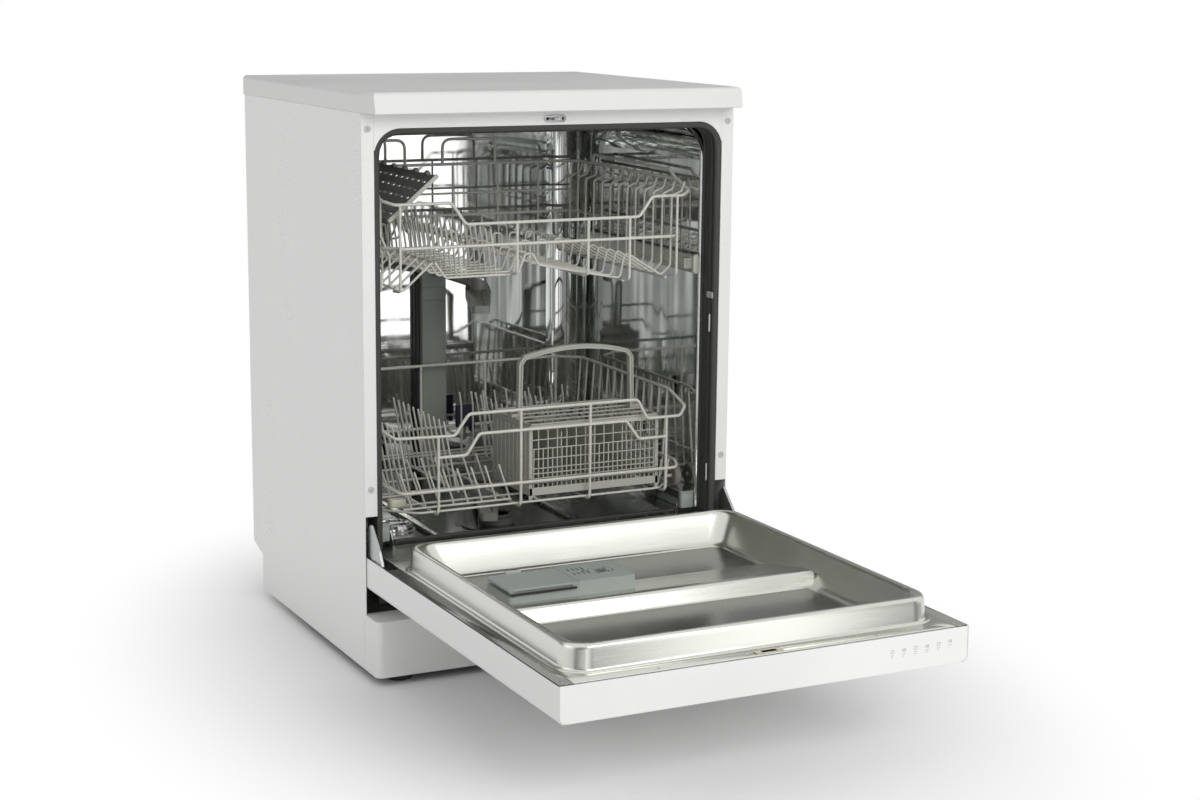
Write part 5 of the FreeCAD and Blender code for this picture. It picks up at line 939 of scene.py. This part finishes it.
def dispenser_details():
    low, high = box_of("dispenser_body")
    lid_low, lid_high = box_of("detergent_lid")
    sunk = high.z - MARK_SINK
    shape = bmesh.new()
    for row in DOSE_ROWS:
        for i in range(DOSE_MARKS):
            x = lid_high.x + DOSE_START + i * DOSE_PITCH
            y = low.y + row
            slab(shape, (x, y, sunk), (x + DOSE_MARK[0], y + DOSE_MARK[1], high.z + 0.25), 1.1, 0.2)
    (left, front), (right, rear) = DOSE_DOT
    slab(shape, (lid_high.x + left, low.y + front, sunk),
         (lid_high.x + right, low.y + rear, high.z + MARK_RISE), 2.4, 0.25)
    moulding("dosing_marks", shape, dark_pp, "door", "grey_plastic")
    shape = bmesh.new()
    slab(shape, (lid_low.x + 4, lid_low.y - 1.6, lid_high.z - 3.4),
         (lid_high.x - 8, lid_low.y + 5, lid_high.z - 0.2), 1.4, 0.7)
    moulding("lid_front_lip", shape, grey_pp, "detergent_lid", "grey_plastic")
    shape = bmesh.new()
    # A black strip on the body's front under the lid: painted shadow of the slot
    slab(shape, (low.x + 6, low.y - 0.4, high.z - 8.4), (lid_high.x - 4, low.y + 2, high.z - 5.2), 0.8, 0.3)
    moulding("lid_slot_painted_shadow", shape, black_pp, "door", "grey_plastic")
    cap_low, cap_high = box_of("rinse_aid_cap")
    middle = (cap_low + cap_high) / 2
    shape = bmesh.new()
    for i in range(GRIP_RIBS):
        reach = GRIP_LONG - abs(i - GRIP_RIBS // 2) * GRIP_STEP
        x = middle.x + GRIP_START + i * GRIP_PITCH
        slab(shape, (x, middle.y - reach, cap_high.z - MARK_SINK),
             (x + GRIP_RIB, middle.y + reach * 0.5, cap_high.z + MARK_RISE), 0.8, 0.2)
    moulding("rinse_cap_grip", shape, dark_pp, "rinse_aid_cap", "dark_grey_plastic")


# Fittings on the cabinet's front: the striker's plate and rivets, and the cross recesses of the screws
FRONT = -238
STRIKER_PLATE = (36, 11, 0.7)
RIVETS = (-12, 12)
RIVET = (5, 5, 0.4)
SCREW_MIDDLE = 4.8
RECESS_REACH = 2.2
RECESS_HALF = 0.45
# Pills on the ends of the upper rack's rails
CAP_WIDTH = 11
# Fittings on the door's flange: screws, and the frame and the slot around the latch
FLANGE_SCREWS = ((-288, -868), (-159, -870), (-30, -870), (159, -867), (284, -864), (-284, -764),
                 (-284, -794), (284, -764))
SCREW_HEAD = ((3.4, -0.2), (3.4, 0.2), (2.9, 0.45), (1.4, 0.55), (1.1, 0.1))
COLLAR_CUT = 0.3
COLLAR_LIP = 0.2
LATCH_WALL = 3.2
LATCH_EAR = (2.6, 8)
SLOT_GAP = 0.55
SLOT_WALL = 0.5
# Fittings in the tub: ribs in its floor, the gasket's end blocks, and the lower rack's glide and clip
FLOOR_RIBS = (-156, 79)
FLOOR_RIB = ((-7, -0.1), (-4, 1.1), (0, 2.2), (4, 1.1), (7, -0.1))
FLOOR_RIB_HEIGHT = 2.2
END_BLOCK = (243, 268)
END_CAP = ((-197, 214), (-182, 216.8))
END_STEM = ((-196, 191), (-183, 215))
GLIDE = ((-227, -152, 228), (-200, -136, 241))
RACK_CLIP = (((27, 195, 265), (61, 202, 303)), ((52, 191, 256), (60, 203, 270)))


def upright_pill(shape, middle, width, height, depth, ease):
    """A pill-shaped plate that faces the front, with its rear on the middle's plane."""
    made = bmesh.new()
    radius = min(width, height) / 2 - LEAST_ROUND
    slab(made, (-width / 2, -height / 2, 0), (width / 2, height / 2, depth), radius, ease)
    stand = Matrix.Translation(Vector(middle) * MM) @ Matrix.Rotation(math.radians(90), 4, "X")
    bmesh.ops.transform(made, matrix=stand, verts=made.verts)
    mesh = bpy.data.meshes.new("plate")
    made.to_mesh(mesh)
    made.free()
    shape.from_mesh(mesh)
    bpy.data.meshes.remove(mesh)


def rail_ends():
    low, high = box_of("rail_caps")
    shape = bmesh.new()
    for way in (-1, 1):
        middle = (way * (high.x - CAP_WIDTH / 2), high.y, (low.z + high.z) / 2)
        upright_pill(shape, middle, CAP_WIDTH, high.z - low.z, high.y - low.y, 1.6)
    moulding("rail_cap_pills", shape, light_pp, "upper_rack", "light_grey_plastic", "rail_caps")


def front_fittings():
    low, high = box_of("door_striker")
    shape = bmesh.new()
    middle = (low.z + high.z) / 2
    upright_pill(shape, (0, FRONT, middle), *STRIKER_PLATE, 0.2)
    moulding("striker_plate", shape, zinc, "cabinet", "zinc_steel")
    shape = bmesh.new()
    for x in RIVETS:
        upright_pill(shape, (x, FRONT - 0.6, middle), *RIVET, 0.1)
    moulding("striker_rivets", shape, black_steel, "cabinet", "black_steel")
    low, high = box_of("panel_screws")
    shape = bmesh.new()
    face, rear = low.y - 0.1, low.y + 0.5
    for x in (low.x + SCREW_MIDDLE, high.x - SCREW_MIDDLE):
        for z in (low.z + SCREW_MIDDLE, high.z - SCREW_MIDDLE):
            for wide, tall in ((RECESS_REACH, RECESS_HALF), (RECESS_HALF, RECESS_REACH)):
                bar(shape, (x - wide, face, z - tall), (x + wide, rear, z + tall), 0.1)
    moulding("screw_recesses", shape, zinc, "cabinet", "zinc_steel")


def collar(shape, low, high, wall, depths, radius):
    """A rounded rectangular ring: its wall lies outside the opening between two corners in plan."""
    rings = []
    base, top = depths
    for grow, z in ((wall, base), (wall, top - COLLAR_CUT), (wall - COLLAR_CUT, top), (COLLAR_LIP, top),
                    (0, top - COLLAR_LIP), (0, base), (wall, base)):
        rings.append(round_rect([a - grow for a in low], [a + grow for a in high], radius + grow, z))
    loft(shape, rings)
    bmesh.ops.remove_doubles(shape, verts=shape.verts, dist=WELD * MM)


def flange_fittings():
    low, high = LATCH_WINDOW
    shape = bmesh.new()
    collar(shape, low, high, LATCH_WALL, (FLANGE, FLANGE + 0.9), 0.4)
    near, far = LATCH_EAR
    for left, right in ((high[0] + near, high[0] + far), (low[0] - far, low[0] - near)):
        slab(shape, (left, low[1] - 2, FLANGE - 0.2), (right, high[1] + 2, FLANGE + 0.8), 1.5, 0.3)
    moulding("latch_frame", shape, latch_zinc, "door", "zinc_steel")
    shape = bmesh.new()
    inner_low = [a + SLOT_GAP for a in low]
    inner_high = [a - SLOT_GAP for a in high]
    collar(shape, inner_low, inner_high, SLOT_WALL, (FLANGE - 1.6, FLANGE + 0.5), 0.2)
    moulding("latch_slot", shape, black_pp, "door", "black_plastic")
    shape = bmesh.new()
    for x, y in FLANGE_SCREWS:
        turned(shape, SCREW_HEAD, (x, y, FLANGE), 20)
    moulding("flange_screws", shape, zinc, "door", "zinc_steel")


def tub_fittings():
    low, high = box_of("tub_floor")
    shape = bmesh.new()
    for x in FLOOR_RIBS:
        rings = []
        for y, drop in ((low.y + 6, FLOOR_RIB_HEIGHT), (low.y + 12, 0), (high.y - 60, 0),
                        (high.y - 54, FLOOR_RIB_HEIGHT)):
            rings.append([Vector((x + a, y, high.z + max(b - drop, -0.1))) for a, b in FLOOR_RIB])
        loft(shape, rings, first=True, last=True)
    moulding("tub_floor_ribs", shape, floor_steel_painted_shade, "cabinet", "polished_stainless")
    shape = bmesh.new()
    for way in (-1, 1):
        left, right = sorted(way * x for x in END_BLOCK)
        slab(shape, (left, *END_CAP[0]), (right, *END_CAP[1]), 4, 1)
        slab(shape, (left + 1, *END_STEM[0]), (right - 1, *END_STEM[1]), 4, 1)
    moulding("gasket_end_blocks", shape, grey_pp, "cabinet", "gasket_rubber")
    shape = bmesh.new()
    slab(shape, *GLIDE, 5, 3)
    moulding("basket_glide", shape, cream_pp, "lower_rack", "cream_plastic")
    shape = bmesh.new()
    for corner, opposite in RACK_CLIP:
        bar(shape, corner, opposite, 1.5)
    moulding("rack_clip", shape, navy_pp, "lower_rack", "dark_grey_plastic")


# Filter cup: a cage of upright ribs between two hoops
FILTER_RIBS = 16
FILTER_RADIUS = 24
FILTER_RIB = 1.6
FILTER_DROP = 11
FILTER_RISE = 3
HOOP_HEIGHTS = (-1, 3)
FILTER_HOOP = ((2.4, -1), (2.4, 1), (1.6, 1.8), (-4, 1.8), (-4.4, -1))


def filter_ribs():
    low, high = box_of("filter_cup")
    middle = (low + high) / 2
    shape = bmesh.new()
    radius = FILTER_RADIUS
    for height in HOOP_HEIGHTS:
        z = high.z + height
        hoop = [(radius + a, z + b) for a, b in FILTER_HOOP]
        turned(shape, hoop, (middle.x, middle.y, 0), 32)
    for i in range(FILTER_RIBS):
        turn = 2 * math.pi * i / FILTER_RIBS
        x, y = middle.x + radius * math.cos(turn), middle.y + radius * math.sin(turn)
        bar(shape, (x - FILTER_RIB, y - FILTER_RIB, high.z - FILTER_DROP),
            (x + FILTER_RIB, y + FILTER_RIB, high.z + FILTER_RISE), 0.6)
    moulding("filter_ribs", shape, dark_pp, "filter_cup", "dark_grey_plastic")


# Printed marks on the fascia: plain bars and frames with no letters
MARK_PLACES = ((178, 157), (196, 157.5), (214, 158), (232, 158), (250, 158.5), (268, 160))
MARK_HALF = 2.6
MARK_LINE = 0.7
MARK_BASE = 2
MARK_TOP = 6.5
MARK_BARS = 3
BAR_PITCH = 2.1
MARK_DEPTH = 0.3
MARK_PROUD = 0.05
LONG_LINE = (-2.2, -1.2, 2.2, -0.4)
SHORT_LINE = (-2.2, -4, 0.8, -3.2)


def fascia_marks():
    face = box_of("control_fascia")[0].y - MARK_PROUD
    shape = bmesh.new()

    def stroke(left, base, right, top):
        corners = ((left, base), (right, base), (right, top), (left, top))
        front = [shape.verts.new(Vector((x, face, z)) * MM) for x, z in corners]
        rear = [shape.verts.new(Vector((x, face + MARK_DEPTH, z)) * MM) for x, z in corners]
        shape.faces.new(front)
        shape.faces.new(rear[::-1])
        for i in range(4):
            j = (i + 1) % 4
            shape.faces.new((front[i], rear[i], rear[j], front[j]))

    for i, (x, z) in enumerate(MARK_PLACES):
        if i % 2:
            for k in range(MARK_BARS):
                left = x - MARK_HALF + k * BAR_PITCH
                stroke(left, z + MARK_BASE, left + 1, z + MARK_TOP)
        else:
            left, right = x - MARK_HALF, x + MARK_HALF
            base, top = z + MARK_BASE, z + MARK_TOP
            stroke(left, base, right, base + MARK_LINE)
            stroke(left, top - MARK_LINE, right, top)
            stroke(left, base + MARK_LINE, left + MARK_LINE, top - MARK_LINE)
            stroke(right - MARK_LINE, base + MARK_LINE, right, top - MARK_LINE)
        lines = (LONG_LINE, SHORT_LINE) if i < len(MARK_PLACES) - 1 else (LONG_LINE,)
        for left, base, right, top in lines:
            stroke(x + left, z + base, x + right, z + top)
    moulding("fascia_marks", shape, print_grey, "door", "white_plastic")


upper_wires()
lower_wires()
folding_wires()
cutlery_basket()
cutlery_grid()
cutlery_handle()
cup_shelf()
door_liner()
gasket()
tub_corners()
feed_duct()
dispenser_details()
rail_ends()
front_fittings()
flange_fittings()
tub_fittings()
filter_ribs()
fascia_marks()


# Studio, with every length in metres
FLOOR_CLEAR = 0.33
FLOOR_FADE = 0.72
FLOOR_MIDDLE = (0, 0.29, 0)
FLOOR_SHAPE = (1, 0.67, 1)
FLOOR_REACH = 14
WORLD_LIGHT = 0.56


def flat_stage(name, corners, finish):
    """A stage sheet between four corners. Gives the sheet and the empty node tree of its finish."""
    mesh = bpy.data.meshes.new(name)
    mesh.from_pydata(corners, [], [(0, 1, 2, 3)])
    sheet = bpy.data.objects.new(name, mesh)
    scene.collection.objects.link(sheet)
    material = bpy.data.materials.new(finish)
    material.use_nodes = True
    material.node_tree.nodes.clear()
    mesh.materials.append(material)
    return sheet, material.node_tree


def seen_ray(tree):
    """One where the camera, a mirror or glass looks, and nought where light falls."""
    ray = add(tree, "LightPath").outputs
    seen = add(tree, "Math", {0: ray["Is Camera Ray"], 1: ray["Is Glossy Ray"]}, operation="MAXIMUM")
    seen = add(tree, "Math", {0: seen.outputs[0], 1: ray["Is Transmission Ray"]}, operation="MAXIMUM")
    return seen.outputs[0]


def add_floor():
    """White paper that keeps the part's shadow near it and fades to plain white further away."""
    reach = FLOOR_REACH
    corners = [(-reach, -reach, 0), (reach, -reach, 0), (reach, reach, 0), (-reach, reach, 0)]
    tree = flat_stage("studio_floor", corners, "white_studio_paper")[1]
    place = add(tree, "TexCoord").outputs["Object"]
    centred = add(tree, "VectorMath", {0: place, 1: FLOOR_MIDDLE}, operation="ADD")
    shaped = add(tree, "VectorMath", {0: centred.outputs[0], 1: FLOOR_SHAPE}, operation="MULTIPLY")
    away = add(tree, "VectorMath", {0: shaped.outputs[0]}, operation="LENGTH")
    fade = add(tree, "MapRange", {"Value": away.outputs["Value"], "From Min": FLOOR_CLEAR,
                                  "From Max": FLOOR_FADE}, interpolation_type="SMOOTHSTEP")
    mixing = add(tree, "Math", {0: seen_ray(tree), 1: fade.outputs[0]}, operation="MULTIPLY")
    paper = add(tree, "BsdfDiffuse", {"Color": linear("#F8F8F8")})
    glow = add(tree, "Emission", {"Color": linear("#FFFFFF"), "Strength": 1.0})
    blend = add(tree, "MixShader", {0: mixing.outputs[0], 1: paper.outputs[0], 2: glow.outputs[0]})
    add(tree, "OutputMaterial", {"Surface": blend.outputs[0]})


def add_world():
    """A white room that lights the part more softly than it looks."""
    world = bpy.data.worlds.new("studio")
    scene.world = world
    world.use_nodes = True
    tree = world.node_tree
    tree.nodes.clear()
    level = add(tree, "MapRange", {"Value": seen_ray(tree), "To Min": WORLD_LIGHT, "To Max": 1.0})
    shine = add(tree, "Background", {"Color": linear("#FFFFFF"), "Strength": level.outputs[0]})
    add(tree, "OutputWorld", {"Surface": shine.outputs[0]})


def add_lamp(name, place, target, size, power):
    """A soft box at a place that faces a target, in metres and watts."""
    lamp = bpy.data.lights.new(name, "AREA")
    lamp.shape = "RECTANGLE"
    lamp.size, lamp.size_y = size
    lamp.energy = power
    item = bpy.data.objects.new(name, lamp)
    item.location = place
    item.rotation_euler = (Vector(target) - Vector(place)).to_track_quat("-Z", "Y").to_euler()
    scene.collection.objects.link(item)


# Screens that the steel reflects. A band is its place along the screen and its tone
BANDS = ((-2.6, 0.3), (-1.6, 0.3), (-1.42, 0.35), (-1.38, 1.1), (-1.33, 0.4), (-1.22, 0.4), (-1.19, 1.0),
         (-1.15, 0.45), (-1.06, 0.4), (-0.99, 0.3), (-0.965, 1.5), (-0.9, 1.7), (-0.885, 0.3), (-0.8, 0.25),
         (-0.77, 1.3), (-0.74, 0.4), (-0.65, 0.4), (-0.5, 1.6), (-0.2, 1.0), (0.0, 0.3), (0.35, 0.4),
         (0.5, 1.7), (1.12, 1.8), (1.15, 0.4), (1.19, 0.32), (1.21, 1.0), (1.235, 0.35), (1.3, 0.3),
         (1.33, 1.2), (1.37, 0.3), (1.6, 0.25), (2.6, 0.25))
LEFT_BANDS = ((-2.6, 0.22), (-1.0, 0.22), (-0.3, 0.3))
DARK_BANDS = ((-4.0, 0.3), (0.3, 0.3), (4.0, 0.42))
SCREEN_SIDE = 2.6
SCREEN_FRONT = -2.25
SCREEN_REAR = -0.95
SCREEN_LOW = 0.012
SCREEN_LEAN = 0.5
BACK_SCREEN = 0.9
BACK_SIDE = 4.0
BACK_SPLIT = 0.3
BACK_TOP = 2.4


def upright(left, right, y, base, top):
    """The corners of a screen that stands across the room."""
    return ((left, y, base), (right, y, base), (right, y, top), (left, y, top))


def lying(left, right, lean):
    """The corners of a screen that lies on the floor and leans to the side towards its rear edge."""
    shift = lean * (SCREEN_FRONT - SCREEN_REAR)
    return ((left, SCREEN_FRONT, SCREEN_LOW), (right, SCREEN_FRONT, SCREEN_LOW),
            (right + shift, SCREEN_REAR, SCREEN_LOW), (left + shift, SCREEN_REAR, SCREEN_LOW))


def add_screen(name, corners, bands, lean=0.0):
    """A studio screen that only reflections show, with dark and bright bands placed along its first edge.
    A lying screen's bands lean, so that they run on from the upright screen's."""
    screen, tree = flat_stage(name, corners, name + "_cloth")
    for sight in ("visible_camera", "visible_diffuse", "visible_shadow", "visible_transmission"):
        setattr(screen, sight, False)
    start, end = corners[0][0], corners[1][0]
    place = add(tree, "SeparateXYZ", {0: add(tree, "TexCoord").outputs["Object"]})
    depth = add(tree, "Math", {0: place.outputs["Y"], 1: -corners[0][1]}, operation="ADD")
    leant = add(tree, "Math", {0: depth.outputs[0], 1: lean, 2: place.outputs["X"]}, operation="MULTIPLY_ADD")
    across = add(tree, "MapRange", {"Value": leant.outputs[0], "From Min": start, "From Max": end})
    ramp = add(tree, "ValToRGB", {"Fac": across.outputs[0]})
    stops = ramp.color_ramp.elements
    inside = [(x, tone) for x, tone in bands if start <= x <= end]
    while len(stops) < len(inside):
        stops.new(1.0)
    for stop, (x, tone) in zip(stops, inside):
        stop.position = (x - start) / (end - start)
        stop.color = (tone, tone, tone, 1)
    glow = add(tree, "Emission", {"Color": ramp.outputs["Color"], "Strength": 1.0})
    add(tree, "OutputMaterial", {"Surface": glow.outputs[0]})


add_camera()
add_floor()
add_screen("front_screen", upright(-SCREEN_SIDE, SCREEN_SIDE, SCREEN_FRONT, 0.01, 1.1), BANDS)
add_screen("right_floor_screen", lying(0.75, SCREEN_SIDE, SCREEN_LEAN), BANDS, SCREEN_LEAN)
add_screen("left_floor_screen", lying(-SCREEN_SIDE, -0.65, -SCREEN_LEAN), BANDS, -SCREEN_LEAN)
add_screen("left_upper_screen", upright(-SCREEN_SIDE, -0.3, SCREEN_FRONT + 0.01, 0.55, 1.7), LEFT_BANDS)
add_screen("rear_right_screen", upright(BACK_SPLIT, BACK_SIDE, BACK_SCREEN, 0.0, BACK_TOP), DARK_BANDS)
add_screen("rear_upper_screen", upright(-BACK_SIDE, BACK_SPLIT, BACK_SCREEN, 0.9, BACK_TOP), DARK_BANDS)
add_world()
add_lamp("front_softbox", place=(0.4, -4.2, 2.4), target=(0, -0.2, 0.4), size=(3.0, 2.0), power=72)
add_lamp("left_softbox", place=(-3.6, -0.6, 2.2), target=(0, 0, 0.4), size=(2.0, 2.0), power=8)
